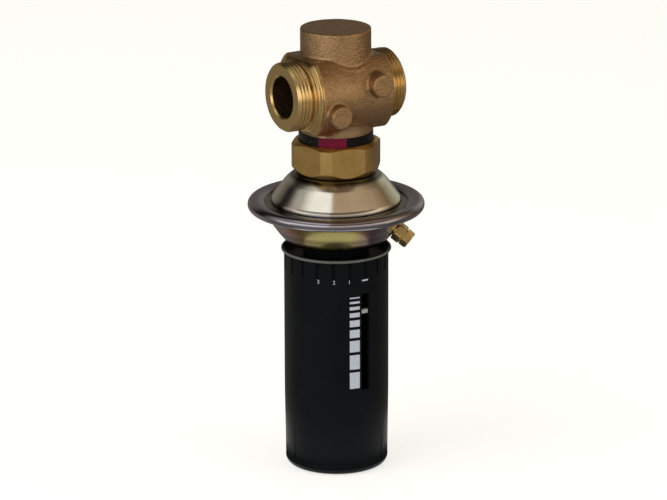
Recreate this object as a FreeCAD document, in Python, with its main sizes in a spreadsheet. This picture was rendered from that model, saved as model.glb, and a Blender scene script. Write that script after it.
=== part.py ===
"""Differential pressure control valve, DN 25, with external pipe threads.

A cast bronze body with its seat and cone stands on top. A brass union nut clamps a diaphragm casing of
pressed steel under it, and a black setting handle hangs on a threaded tube below the casing. The origin is
the centre of the handle's bottom face, +Z is up, the pipe runs along X and the front is -Y. All sizes are
millimetres.
"""

import FreeCAD, Part
import math
import os
import Sketcher

OUTPUT_FOLDER = "parts"
SHEET_NAME = "Dimensions"
# Volumes (mm3) and places (mm) that differ by less count as the same.
SAME_VOLUME = 1e-6
SAME_PLACE = 1e-3
# A small hexagon is milled from a bar this much wider than its flats, so its corners are cut off.
CORNER_SHARE = 1.12

# Driving dimensions: each becomes a cell of the sheet, under the name given here.
DIMENSIONS = {
    # valve body
    "pipe_height": 233.5,
    "face_to_face": 75.0,
    "port_thread_radius": 20.955,
    "port_relief_radius": 19.3,
    "port_bore_radius": 12.5,
    "port_chamfer": 1.0,
    "bore_chamfer": 1.0,
    "relief_width": 0.4,
    "relief_runout": 0.5,
    "drum_radius": 28.1,
    "drum_half_length": 24.4,
    "drum_top_height": 22.2,
    "drum_bottom_depth": 22.0,
    "boss_radius": 21.3,
    "boss_rise": 38.3,
    "boss_round": 0.8,
    "neck_radius": 21.9,
    "neck_thread_radius": 20.0,
    "neck_shoulder": 201.2,
    "neck_end": 188.2,
    "neck_chamfer": 0.8,
    "neck_root_round": 2.0,
    "tapping_radius": 7.1,
    "tapping_reach": 34.0,
    "tapping_round": 0.5,
    "left_tapping_offset": 15.5,
    "left_tapping_drop": 8.2,
    "right_tapping_offset": 12.8,
    "right_tapping_rise": 7.4,
    "cavity_radius": 15.0,
    "guide_radius": 16.0,
    "guide_ledge": 204.0,
    "web_half_height": 4.0,
    "cavity_top": 263.0,
    "cavity_round": 3.0,
    "bulkhead": 17.5,
    "window_depth": 8.0,
    "window_height": 6.0,
    "window_taper": 0.75,
    "cast_round": 1.2,
    # seat, cone and stem
    "seat_radius": 12.6,
    "seat_bore_radius": 10.5,
    "seat_collar_radius": 14.4,
    "seat_collar_height": 3.0,
    "seat_edge_height": 0.5,
    "seat_edge_width": 1.2,
    "seat_cord": 1.2,
    "valve_lift": 7.0,
    "cone_radius": 12.8,
    "cone_height": 5.0,
    "cone_chamfer": 1.5,
    "cone_socket": 3.5,
    "cone_seal_width": 1.4,
    "cone_seal_depth": 1.2,
    "plug_height": 6.0,
    "plug_taper": 3.0,
    "stem_joint": 172.5,
    "stem_radius": 3.0,
    "running_gap": 0.05,
    "guide_cord": 1.9,
    "stem_seal_radius": 6.0,
    "stem_seal_depth": 3.5,
    # union nut and band
    "union_flats": 50.0,
    "union_round_radius": 27.0,
    "union_bottom": 183.9,
    "union_top": 203.4,
    "union_lip": 2.0,
    "union_azimuth": 16.5,
    "band_bottom": 202.3,
    "band_top": 208.9,
    "band_thickness": 0.5,
    # diaphragm casing
    "sheet_wall": 1.3,
    "casing_top": 183.5,
    "casing_hub_radius": 13.0,
    "crown_radius": 23.4,
    "crown_round": 5.8,
    "crown_bend": 28.0,
    "shoulder_radius": 32.5,
    "shoulder_drop": 7.6,
    "shoulder_round": 24.0,
    "skirt_drop": 18.6,
    "skirt_round": 6.4,
    "flange_radius": 50.0,
    "clamp_height": 162.6,
    "rim_radius": 53.2,
    "rim_inner_radius": 43.7,
    "rim_bottom": 159.4,
    "rim_top": 166.4,
    "casing_bottom": 140.9,
    "dome_foot_radius": 39.4,
    "cone_foot_radius": 31.1,
    "bowl_radius": 77.0,
    "floor_round": 3.0,
    "neck_round": 3.2,
    "lip_bend": 14.0,
    "diaphragm_thickness": 1.4,
    "hub_drop": 2.2,
    "fold_radius": 37.6,
    "fold_round": 7.5,
    "plate_radius": 30.0,
    # impulse fitting
    "fitting_azimuth": -45.0,
    "fitting_tilt": 37.0,
    "fitting_radius": 36.7,
    "fitting_height": 149.0,
    "nipple_flats": 10.6,
    "nipple_end": 6.0,
    "nipple_shank_radius": 4.0,
    "shank_depth": 3.5,
    "compression_flats": 9.8,
    "compression_end": 11.2,
    "impulse_bore_radius": 3.05,
    # spindle, setting nut and spring
    "tube_radius": 10.0,
    "tube_bore_radius": 6.0,
    "tube_end": 32.0,
    "disc_radius": 20.0,
    "ring_thickness": 1.5,
    "rod_radius": 5.0,
    "rod_step": 1.0,
    "rod_chamfer": 0.4,
    "rod_tail": 10.0,
    "rod_nut_flats": 13.0,
    "rod_nut_height": 4.5,
    "lock_nut_height": 6.0,
    "nut_middle": 102.8,
    "nut_thickness": 5.0,
    "nut_foot_height": 1.0,
    "pointer_height": 2.2,
    "pointer_inset": 0.7,
    "washer_thickness": 1.5,
    "plate_thickness": 4.0,
    "spring_seat": 20.0,
    "spring_mean_radius": 17.5,
    "spring_wire": 4.0,
    "spring_turns": 5.0,
    # setting handle
    "handle_radius": 31.5,
    "handle_wall": 2.6,
    "handle_height": 136.5,
    "lip_radius": 33.2,
    "lip_height": 2.0,
    "web_bottom": 128.0,
    "web_top": 132.0,
    "body_gap": 0.3,
    "groove_count": 20.0,
    "groove_bottom": 124.0,
    "groove_width": 2.0,
    "groove_depth": 1.1,
    "groove_azimuth": -124.2,
    "panel_top": 48.0,
    "panel_bottom": 6.0,
    "panel_taper": 0.6,
    "rib_count": 6.0,
    "rib_width": 2.4,
    "rib_azimuth": -118.0,
    "rib_inset": 0.25,
    "foot_round": 4.6,
    "slot_azimuth": -87.7,
    "slot_width": 5.4,
    "slot_bottom": 53.5,
    "slot_top": 114.2,
    "key_count": 3.0,
    "key_width": 4.0,
    "key_azimuth": 60.0,
    "key_radius": 25.8,
    "cap_radius": 24.6,
}


class Size:
    """A length worked out from cells of the sheet, with the expression that keeps it bound to them."""

    def __init__(self, value, text):
        self.value = value
        self.text = text

    def __add__(self, other):
        other = as_size(other)
        return Size(self.value + other.value, f"({self.text} + {other.text})")

    def __sub__(self, other):
        other = as_size(other)
        return Size(self.value - other.value, f"({self.text} - {other.text})")

    def __mul__(self, factor):
        factor = as_size(factor)
        return Size(self.value * factor.value, f"({self.text} * {factor.text})")

    def __truediv__(self, divisor):
        divisor = as_size(divisor)
        return Size(self.value / divisor.value, f"({self.text} / {divisor.text})")

    def __neg__(self):
        return Size(-self.value, f"(0 - {self.text})")

    def __radd__(self, other):
        return as_size(other) + self

    def __rsub__(self, other):
        return as_size(other) - self

    def __rmul__(self, other):
        return as_size(other) * self


class Cells:
    """Gives every driving dimension as a Size, by its name."""

    def __init__(self, dimensions):
        for name, value in dimensions.items():
            setattr(self, name, Size(value, f"{SHEET_NAME}.{name}"))


def as_size(value):
    """A plain number becomes a Size of its own."""
    if isinstance(value, Size):
        return value
    if value < 0:
        return Size(value, f"(0 - {-value})")
    return Size(value, f"{value}")


def root(size):
    """The square root of a Size that holds an area."""
    return Size(math.sqrt(size.value), f"sqrt({size.text})")


def make_sheet(doc):
    """Writes the driving dimensions into the document's sheet."""
    sheet = doc.addObject("Spreadsheet::Sheet", SHEET_NAME)
    for row, (name, value) in enumerate(DIMENSIONS.items(), start=1):
        sheet.set(f"A{row}", name.replace("_", " "))
        sheet.set(f"B{row}", str(value))
        sheet.setAlias(f"B{row}", name)
    doc.recompute()


def new_body(label):
    """An empty body for one sub-part."""
    body = doc.addObject("PartDesign::Body", label)
    body.Label = label
    return body


def new_sketch(body, role, lift=None, turn=None, along=None):
    """A sketch on one of the body's own planes, lifted along its normal, turned, or moved along its Y."""
    plane = next(feature for feature in body.Origin.OriginFeatures if feature.Role == role)
    sketch = body.newObject("Sketcher::SketchObject", "Sketch")
    sketch.AttachmentSupport = [(plane, "")]
    sketch.MapMode = "FlatFace"
    if turn is not None:
        spin = FreeCAD.Rotation(FreeCAD.Vector(0, 0, 1), turn.value)
        sketch.AttachmentOffset = FreeCAD.Placement(FreeCAD.Vector(), spin)
        sketch.setExpression("AttachmentOffset.Rotation.Angle", turn.text)
    if lift is not None:
        sketch.setExpression("AttachmentOffset.Base.z", lift.text)
    if along is not None:
        sketch.setExpression("AttachmentOffset.Base.y", along.text)
    return sketch


def bind(sketch, constraint, size):
    """Adds a driving constraint that follows the sheet."""
    index = sketch.addConstraint(constraint)
    sketch.setExpression(f"Constraints[{index}]", size.text)


def pin_point(sketch, edge, end, x, y):
    """Holds one end of an edge at a place that follows the sheet."""
    if x.value == 0:
        sketch.addConstraint(Sketcher.Constraint("PointOnObject", edge, end, -2))
    else:
        bind(sketch, Sketcher.Constraint("DistanceX", -1, 1, edge, end, x.value), x)
    if y.value == 0:
        sketch.addConstraint(Sketcher.Constraint("PointOnObject", edge, end, -1))
    else:
        bind(sketch, Sketcher.Constraint("DistanceY", -1, 1, edge, end, y.value), y)


def arc_between(start, finish, bend):
    """The arc of radius |bend| between two points, which turns left where bend is positive."""
    chord = finish - start
    across = FreeCAD.Vector(-chord.y, chord.x, 0).normalize()
    rise = math.sqrt(max(bend * bend - chord.Length ** 2 / 4, 0.0))
    centre = start + chord * 0.5 + across * math.copysign(rise, bend)
    first, last = (start, finish) if bend > 0 else (finish, start)
    angles = [math.atan2(point.y - centre.y, point.x - centre.x) for point in (first, last)]
    circle = Part.Circle(centre, FreeCAD.Vector(0, 0, 1), abs(bend))
    return Part.ArcOfCircle(circle, angles[0], angles[1])


def draw_outline(sketch, corners):
    """Draws a closed outline. A corner is (x, y), or (x, y, bend) where an arc of that radius leads to it."""
    corners = [tuple(as_size(value) for value in corner) for corner in corners]
    points = [FreeCAD.Vector(corner[0].value, corner[1].value, 0) for corner in corners]
    ends = []
    for number, corner in enumerate(corners):
        start = points[number - 1]
        finish = points[number]
        if len(corner) == 2:
            edge = sketch.addGeometry(Part.LineSegment(start, finish), False)
            ends.append((edge, 1, 2))
            continue
        bend = corner[2]
        edge = sketch.addGeometry(arc_between(start, finish, bend.value), False)
        ends.append((edge, 1, 2) if bend.value > 0 else (edge, 2, 1))
        radius = bend if bend.value > 0 else -bend
        bind(sketch, Sketcher.Constraint("Radius", edge, radius.value), radius)
    for number, corner in enumerate(corners):
        edge, first, last = ends[number]
        following = ends[(number + 1) % len(ends)]
        sketch.addConstraint(Sketcher.Constraint("Coincident", edge, last, following[0], following[1]))
        pin_point(sketch, edge, last, corner[0], corner[1])


def draw_circle(sketch, x, y, radius):
    """Draws a circle whose centre and radius follow the sheet."""
    x, y = as_size(x), as_size(y)
    circle = Part.Circle(FreeCAD.Vector(x.value, y.value, 0), FreeCAD.Vector(0, 0, 1), radius.value)
    edge = sketch.addGeometry(circle, False)
    pin_point(sketch, edge, 3, x, y)
    bind(sketch, Sketcher.Constraint("Radius", edge, radius.value), radius)


def polygon(flats, sides=6, turn=30.0):
    """Corners of a regular polygon by its width across flats."""
    reach = flats / (2 * math.cos(math.pi / sides))
    angles = [math.radians(turn + 360.0 * side / sides) for side in range(sides)]
    return [(reach * math.cos(angle), reach * math.sin(angle)) for angle in angles]


def rectangle(left, right, low, high):
    """Corners of an upright rectangle."""
    return [(left, low), (right, low), (right, high), (left, high)]


def revolve(body, corners, axis="V_Axis", kind="PartDesign::Revolution", along=None):
    """Turns an outline, drawn as radius and height, about an axis of its sketch."""
    sketch = new_sketch(body, "XZ_Plane", along=along)
    draw_outline(sketch, corners)
    before = volume_of(body)
    feature = body.newObject(kind, "Turned")
    feature.Profile = sketch
    feature.ReferenceAxis = (sketch, [axis])
    feature.Angle = 360
    check_change(body, before, kind)
    return feature


def extrude(body, sketch, length, kind="PartDesign::Pad", reverse=False, both=False, through=False):
    """Pads or pockets a drawn sketch by a length that follows the sheet."""
    before = volume_of(body)
    feature = body.newObject(kind, "Extruded")
    feature.Profile = sketch
    if through:
        feature.Type = "ThroughAll"
    else:
        feature.setExpression("Length", length.text)
    if both:
        feature.SideType = "Symmetric"
    feature.Reversed = reverse
    check_change(body, before, kind)
    return feature


def repeat(body, feature, count):
    """Repeats a feature evenly round the upright axis."""
    before = volume_of(body)
    pattern = body.newObject("PartDesign::PolarPattern", "Pattern")
    pattern.Originals = [feature]
    upright = next(item for item in body.Origin.OriginFeatures if item.Role == "Z_Axis")
    pattern.Axis = (upright, [""])
    pattern.Angle = 360
    pattern.setExpression("Occurrences", count.text)
    body.Tip = pattern
    check_change(body, before, feature.TypeId)


def round_edges(body, radius, wanted):
    """Rounds the edges of the body that the test picks."""
    before = volume_of(body)
    base = body.Tip
    names = [f"Edge{i}" for i, edge in enumerate(base.Shape.Edges, start=1) if wanted(edge)]
    if not names:
        raise RuntimeError(f"{body.Label}: no edge to round")
    feature = body.newObject("PartDesign::Fillet", "Rounded")
    feature.Base = (base, names)
    feature.setExpression("Radius", radius.text)
    doc.recompute()
    if abs(volume_of(body) - before) < SAME_VOLUME:
        raise RuntimeError(f"{body.Label}: rounding changed nothing")


def volume_of(body):
    """The body's volume so far, 0 while it is empty."""
    doc.recompute()
    return 0.0 if body.Shape.isNull() else body.Shape.Volume


def check_change(body, before, kind):
    """Stops if an adding feature added nothing or a cutting feature cut nothing."""
    after = volume_of(body)
    cuts = any(word in kind for word in ("Pocket", "Groove"))
    gain = before - after if cuts else after - before
    if gain < SAME_VOLUME:
        raise RuntimeError(f"{body.Label}: {kind} took the volume from {before:.1f} to {after:.1f}")


def turned_part(label, corners):
    """A sub-part that is one turned outline."""
    body = new_body(label)
    revolve(body, corners)
    return body


def torus(label, ring_radius, cord_radius, height):
    """An O-ring that lies level at a height."""
    body = new_body(label)
    sketch = new_sketch(body, "XZ_Plane")
    draw_circle(sketch, ring_radius, height, cord_radius)
    feature = body.newObject("PartDesign::Revolution", "Turned")
    feature.Profile = sketch
    feature.ReferenceAxis = (sketch, ["V_Axis"])
    feature.Angle = 360
    return body


def build_valve_body(d):
    """Cast bronze body: drum along the pipe, top boss, tappings, turned neck and ports, S-shaped way."""
    body = new_body("valve_body")
    cast_drum(body, d)
    cast_tappings(body, d)
    turn_neck(body, d)
    turn_ports(body, d)
    cut_cavities(body, d)
    for side in (-1, 1):
        cut_port(body, d, side)
        cut_window(body, d, side)
    return body


def cast_drum(body, d):
    """Drum with a flat above and below, crossed by the round top boss, with the casting's rounded edges."""
    top_half = root(d.drum_radius * d.drum_radius - d.drum_top_height * d.drum_top_height)
    bottom_half = root(d.drum_radius * d.drum_radius - d.drum_bottom_depth * d.drum_bottom_depth)
    low = d.pipe_height - d.drum_bottom_depth
    high = d.pipe_height + d.drum_top_height
    section = new_sketch(body, "YZ_Plane")
    draw_outline(section, [
        (-top_half, high),
        (-bottom_half, low, d.drum_radius),
        (bottom_half, low),
        (top_half, high, d.drum_radius),
    ])
    extrude(body, section, d.drum_half_length * 2, both=True)

    top = d.pipe_height + d.boss_rise
    revolve(body, [
        (0, d.pipe_height),
        (d.boss_radius, d.pipe_height),
        (d.boss_radius, top - d.boss_round),
        (d.boss_radius - d.boss_round, top, d.boss_round),
        (0, top),
    ])

    def cast_edge(edge):
        """Every edge of the casting between its flats, shoulders and boss."""
        below_top = edge.BoundBox.ZMax < (top - d.boss_round * 1.5).value
        seam = edge.Curve.TypeId == "Part::GeomLine" and not on_flat_rim(edge)
        return below_top and not seam

    def on_flat_rim(edge):
        """Whether a straight edge lies on the rim of the top or bottom flat."""
        level = {round(vertex.Z, 3) for vertex in edge.Vertexes}
        return level in ({round(low.value, 3)}, {round(high.value, 3)})

    round_edges(body, d.cast_round, cast_edge)


def cast_tappings(body, d):
    """Two blind tapping bosses on the front, with rounded feet and faces."""
    centres = [
        (-d.left_tapping_offset, d.pipe_height - d.left_tapping_drop),
        (d.right_tapping_offset, d.pipe_height + d.right_tapping_rise),
    ]
    tappings = new_sketch(body, "XZ_Plane")
    for x, z in centres:
        draw_circle(tappings, x, z, d.tapping_radius)
    extrude(body, tappings, d.tapping_reach)

    def on_tapping(edge, x, z):
        """Whether an edge keeps the tapping's radius from a centre."""
        reaches = [math.hypot(vertex.X - x.value, vertex.Z - z.value) for vertex in edge.Vertexes]
        return all(abs(reach - d.tapping_radius.value) < SAME_PLACE for reach in reaches)

    def tapping_edge(edge):
        """The foot and the face edge of each tapping."""
        found = any(on_tapping(edge, x, z) for x, z in centres)
        return found and edge.Curve.TypeId != "Part::GeomLine"

    round_edges(body, d.tapping_round, tapping_edge)


def turn_neck(body, d):
    """Turned neck under the drum, with the thread diameter for the union nut."""
    revolve(body, [
        (0, d.neck_end),
        (d.neck_thread_radius - d.neck_chamfer, d.neck_end),
        (d.neck_thread_radius, d.neck_end + d.neck_chamfer),
        (d.neck_thread_radius, d.neck_shoulder),
        (d.neck_radius, d.neck_shoulder),
        (d.neck_radius, d.pipe_height),
        (0, d.pipe_height),
    ])

    def neck_root(edge):
        """Where the neck leaves the drum."""
        reaches = [math.hypot(vertex.X, vertex.Y) for vertex in edge.Vertexes]
        on_neck = all(abs(reach - d.neck_radius.value) < SAME_PLACE for reach in reaches)
        return on_neck and edge.BoundBox.ZMin > (d.neck_shoulder + 1).value

    round_edges(body, d.neck_root_round, neck_root)


def turn_ports(body, d):
    """The two thread diameters, each with a chamfer and a relief at the drum's shoulder."""
    end = d.face_to_face / 2
    relief_end = d.drum_half_length + d.relief_width
    thread_start = relief_end + d.relief_runout
    revolve(body, [
        (-end, 0),
        (-end, d.port_thread_radius - d.port_chamfer),
        (-end + d.port_chamfer, d.port_thread_radius),
        (-thread_start, d.port_thread_radius),
        (-relief_end, d.port_relief_radius),
        (relief_end, d.port_relief_radius),
        (thread_start, d.port_thread_radius),
        (end - d.port_chamfer, d.port_thread_radius),
        (end, d.port_thread_radius - d.port_chamfer),
        (end, 0),
    ], axis="H_Axis", along=d.pipe_height)


def cut_cavities(body, d):
    """Guide bore, lower cavity, seat hole in the web and upper cavity, all on the upright axis."""
    web_low = d.pipe_height - d.web_half_height
    web_high = d.pipe_height + d.web_half_height
    revolve(body, [
        (0, d.neck_end),
        (d.guide_radius, d.neck_end),
        (d.guide_radius, d.guide_ledge),
        (d.cavity_radius, d.guide_ledge),
        (d.cavity_radius, web_low),
        (d.seat_radius, web_low),
        (d.seat_radius, web_high),
        (d.cavity_radius, web_high),
        (d.cavity_radius, d.cavity_top - d.cavity_round),
        (d.cavity_radius - d.cavity_round, d.cavity_top, d.cavity_round),
        (0, d.cavity_top),
    ], kind="PartDesign::Groove")


def cut_port(body, d, side):
    """Bore of one port as far as its bulkhead, with a chamfered mouth."""
    mouth = d.face_to_face / 2 * side
    wall = d.bulkhead * side
    revolve(body, [
        (mouth, 0),
        (mouth, d.port_bore_radius + d.bore_chamfer),
        (mouth - d.bore_chamfer * side, d.port_bore_radius),
        (wall, d.port_bore_radius),
        (wall, 0),
    ], axis="H_Axis", kind="PartDesign::Groove", along=d.pipe_height)


def cut_window(body, d, side):
    """Opens a port bore into its cavity: the part of the bore beyond the web goes on through the bulkhead."""
    web = d.web_half_height
    wide = root(d.port_bore_radius * d.port_bore_radius - web * web) * side
    narrow = wide * d.window_taper
    near = d.pipe_height + web * side
    far = near + d.window_height * side
    window = new_sketch(body, "YZ_Plane", lift=d.window_depth * side)
    draw_outline(window, [(-wide, near), (wide, near), (narrow, far), (-narrow, far)])
    extrude(body, window, d.bulkhead - d.window_depth, kind="PartDesign::Pocket", reverse=side > 0)


def build_seat(d):
    """Screwed seat ring with its collar on the web, and the O-ring under the collar."""
    web_low = d.pipe_height - d.web_half_height
    web_high = d.pipe_height + d.web_half_height
    edge_low = web_low - d.seat_edge_height
    collar_top = web_high + d.seat_collar_height
    ring = turned_part("seat_ring", [
        (d.seat_bore_radius, edge_low),
        (d.seat_bore_radius + d.seat_edge_width, edge_low),
        (d.seat_radius, web_low),
        (d.seat_radius, web_high),
        (d.seat_collar_radius, web_high),
        (d.seat_collar_radius, collar_top),
        (d.seat_bore_radius + d.bore_chamfer, collar_top),
        (d.seat_bore_radius, collar_top - d.bore_chamfer),
    ])
    cord = d.seat_cord
    groove_in = d.seat_radius + 0.2
    overcut = 0.1
    groove = rectangle(groove_in, groove_in + cord, web_high - overcut, web_high + cord)
    revolve(ring, groove, kind="PartDesign::Groove")
    o_ring = torus("seat_o_ring", groove_in + cord / 2, cord / 2, web_high + cord / 2)
    return [ring, o_ring]


def build_cone(d):
    """Valve cone under the seat at full lift, its soft ring, and the stem below it."""
    sealing = d.pipe_height - d.web_half_height - d.seat_edge_height - d.valve_lift
    bottom = sealing - d.cone_height
    socket = bottom + d.cone_socket
    plug_gap = 0.4
    plug = d.seat_bore_radius - plug_gap
    plug_tip = sealing + d.plug_height
    groove_in = d.seat_bore_radius + 0.1
    groove_out = groove_in + d.cone_seal_width
    groove_low = sealing - d.cone_seal_depth
    cone = turned_part("valve_cone", [
        (d.stem_radius, bottom),
        (d.cone_radius - d.cone_chamfer, bottom),
        (d.cone_radius, bottom + d.cone_chamfer),
        (d.cone_radius, sealing),
        (groove_out, sealing),
        (groove_out, groove_low),
        (groove_in, groove_low),
        (groove_in, sealing),
        (plug, sealing),
        (plug - d.plug_taper, plug_tip),
        (0, plug_tip),
        (0, socket),
        (d.stem_radius, socket),
    ])
    seal = turned_part("cone_seal", rectangle(groove_in, groove_out, groove_low, sealing))
    stem = turned_part("valve_stem", [
        (0, d.stem_joint),
        (d.stem_radius - d.rod_chamfer, d.stem_joint),
        (d.stem_radius, d.stem_joint + d.rod_chamfer),
        (d.stem_radius, socket),
        (0, socket),
    ])
    return [cone, seal, stem]


def build_guide(d):
    """Bush in the neck that guides the stem, with its outer O-ring and the lip seal on the stem."""
    bore = d.stem_radius + d.running_gap
    groove_high = d.guide_ledge - 6.0
    groove_low = groove_high - d.guide_cord
    groove_in = d.guide_radius - d.guide_cord
    seal_low = d.guide_ledge - d.stem_seal_depth
    guide = turned_part("stem_guide", [
        (bore, d.neck_end),
        (d.guide_radius, d.neck_end),
        (d.guide_radius, groove_low),
        (groove_in, groove_low),
        (groove_in, groove_high),
        (d.guide_radius, groove_high),
        (d.guide_radius, d.guide_ledge),
        (d.stem_seal_radius, d.guide_ledge),
        (d.stem_seal_radius, seal_low),
        (bore, seal_low),
    ])
    cord_radius = d.guide_cord / 2
    o_ring = torus("guide_o_ring", groove_in + cord_radius, cord_radius, groove_low + cord_radius)
    rim_width = 1.2
    lip_width = 0.8
    lip_high = seal_low + 2.8
    valley = (d.stem_seal_radius - 2.0, seal_low + 1.5)
    seal = turned_part("stem_seal", [
        (bore, seal_low),
        (d.stem_seal_radius, seal_low),
        (d.stem_seal_radius, d.guide_ledge),
        (d.stem_seal_radius - rim_width, d.guide_ledge),
        valley,
        (bore + lip_width, lip_high),
        (bore, lip_high),
    ])
    return [guide, o_ring, seal]


def build_union_nut(d):
    """Union nut turned from round bar, milled to a hexagon, with an inner lip that catches the neck bush."""
    body = new_body("union_nut")
    lip_top = d.union_bottom + d.union_lip
    lip_bore = d.guide_radius + 0.2
    counterbore = d.neck_radius + 0.9
    foot_radius = d.union_flats / 2 - 0.7
    crown_radius = d.union_flats / 2 - 1.4
    foot_chamfer = 3.6
    crown_chamfer = 1.8
    thread_top = d.neck_shoulder - 0.6
    ledge = d.neck_shoulder - 0.2
    revolve(body, [
        (lip_bore, d.union_bottom),
        (foot_radius, d.union_bottom),
        (d.union_round_radius, d.union_bottom + foot_chamfer),
        (d.union_round_radius, d.union_top - crown_chamfer),
        (crown_radius, d.union_top),
        (counterbore, d.union_top),
        (counterbore, ledge),
        (d.neck_thread_radius, thread_top),
        (d.neck_thread_radius, lip_top),
        (lip_bore, lip_top),
    ])
    mill_hexagon(body, d.union_flats, d.union_bottom, d.union_top, turn=d.union_azimuth)
    return body


def build_band(d):
    """Thin identification band round the neck."""
    outer = d.neck_radius + d.band_thickness
    return turned_part("identification_band", rectangle(d.neck_radius, outer, d.band_bottom, d.band_top))


def build_neck_bush(d):
    """Turned bush riveted into the dome, with the flange that the union nut clamps."""
    bore = 6.5
    rivet_height = 2.0
    rivet_radius = d.casing_hub_radius + 1.5
    flange_radius = d.neck_thread_radius - 0.3
    flange_low = d.union_bottom + d.union_lip
    plate_low = d.casing_top - d.sheet_wall
    return turned_part("neck_bush", [
        (bore, plate_low - rivet_height),
        (rivet_radius, plate_low - rivet_height),
        (rivet_radius, plate_low),
        (d.casing_hub_radius, plate_low),
        (d.casing_hub_radius, d.casing_top),
        (d.guide_radius, d.casing_top),
        (d.guide_radius, flange_low),
        (flange_radius, flange_low),
        (flange_radius, d.neck_end),
        (bore, d.neck_end),
    ])


def build_upper_casing(d):
    """Dome pressed from one sheet: hub plate, curved crown, skirt, and the flange under the rolled rim."""
    wall = d.sheet_wall
    top = d.casing_top
    flange = d.clamp_height + wall
    foot = d.dome_foot_radius
    corner = 0.6
    outside = [
        (d.casing_hub_radius, top),
        (d.crown_radius, top),
        (d.crown_radius + 2.2, top - 0.9, -d.crown_round),
        (d.shoulder_radius - 1.8, top - d.shoulder_drop + 2.3, -d.crown_bend),
        (d.shoulder_radius, top - d.shoulder_drop, -d.shoulder_round),
        (foot - 1.0, top - d.skirt_drop + 3.1),
        (foot, top - d.skirt_drop, -d.skirt_round),
        (foot, flange + corner),
        (foot + corner, flange, corner),
        (d.flange_radius, flange),
    ]
    inside = [(x - wall, y - wall, *bend) for x, y, *bend in outside[1:-1]]
    way_back = []
    for number, (x, y, *_) in enumerate(inside):
        bend = inside[number + 1][2:] if number + 1 < len(inside) else ()
        way_back.insert(0, (x, y, *(-radius for radius in bend)))
    corners = outside + [(d.flange_radius, flange - wall)] + way_back
    return turned_part("upper_casing", corners + [(d.casing_hub_radius, top - wall)])


def build_lower_casing(d):
    """Bowl pressed from one sheet, whose edge is rolled over the dome's flange to close the casing."""
    wall = d.sheet_wall
    roll = (d.rim_top - d.rim_bottom) / 2
    turn = d.rim_radius - roll
    bottom = d.casing_bottom
    floor_edge = d.cone_foot_radius - 2.2
    bowl_low = bottom + 1.0
    neck = d.rim_inner_radius - 1.5
    neck_out = neck + 2.8
    neck_high = d.rim_bottom - 1.7
    lip = d.rim_top - 1.4
    ledge = d.clamp_height - d.diaphragm_thickness
    body = turned_part("lower_casing", [
        (d.tube_radius, bottom),
        (floor_edge, bottom),
        (d.cone_foot_radius, bowl_low, d.floor_round),
        (neck, neck_high, d.bowl_radius),
        (neck_out, d.rim_bottom, -d.neck_round),
        (turn, d.rim_bottom),
        (d.rim_radius, d.rim_bottom + roll, roll),
        (turn, d.rim_top, roll),
        (d.rim_inner_radius, lip, d.lip_bend),
        (d.rim_inner_radius, d.clamp_height + wall),
        (d.flange_radius, d.clamp_height + wall),
        (d.flange_radius, ledge),
        (neck_out - wall, ledge),
        (neck - wall, neck_high + wall, d.neck_round),
        (d.cone_foot_radius - wall, bowl_low + wall, -d.bowl_radius),
        (floor_edge - wall, bottom + wall, -d.floor_round),
        (d.tube_radius, bottom + wall),
    ])
    hole = new_sketch(body, "XY_Plane")
    fitting_frame(hole, d)
    draw_circle(hole, 0, 0, d.nipple_shank_radius)
    extrude(body, hole, wall * 6, kind="PartDesign::Pocket", both=True)
    return body


def fitting_frame(sketch, d):
    """Places a sketch square to the impulse fitting, at its seat on the lower casing."""
    sketch.AttachmentOffset = fitting_placement(d)
    seat_x = d.fitting_radius * math.cos(math.radians(d.fitting_azimuth.value))
    seat_y = d.fitting_radius * math.sin(math.radians(d.fitting_azimuth.value))
    for axis, size in (("x", seat_x), ("y", seat_y), ("z", d.fitting_height)):
        sketch.setExpression(f"AttachmentOffset.Base.{axis}", size.text)


def fitting_placement(d):
    """The fitting's frame: its Z points outward and down from the lower casing."""
    azimuth = FreeCAD.Rotation(FreeCAD.Vector(0, 0, 1), d.fitting_azimuth.value)
    tilt = FreeCAD.Rotation(FreeCAD.Vector(0, 1, 0), 90 + d.fitting_tilt.value)
    angle = math.radians(d.fitting_azimuth.value)
    seat = FreeCAD.Vector(
        d.fitting_radius.value * math.cos(angle),
        d.fitting_radius.value * math.sin(angle),
        d.fitting_height.value,
    )
    return FreeCAD.Placement(seat, azimuth.multiply(tilt))


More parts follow.
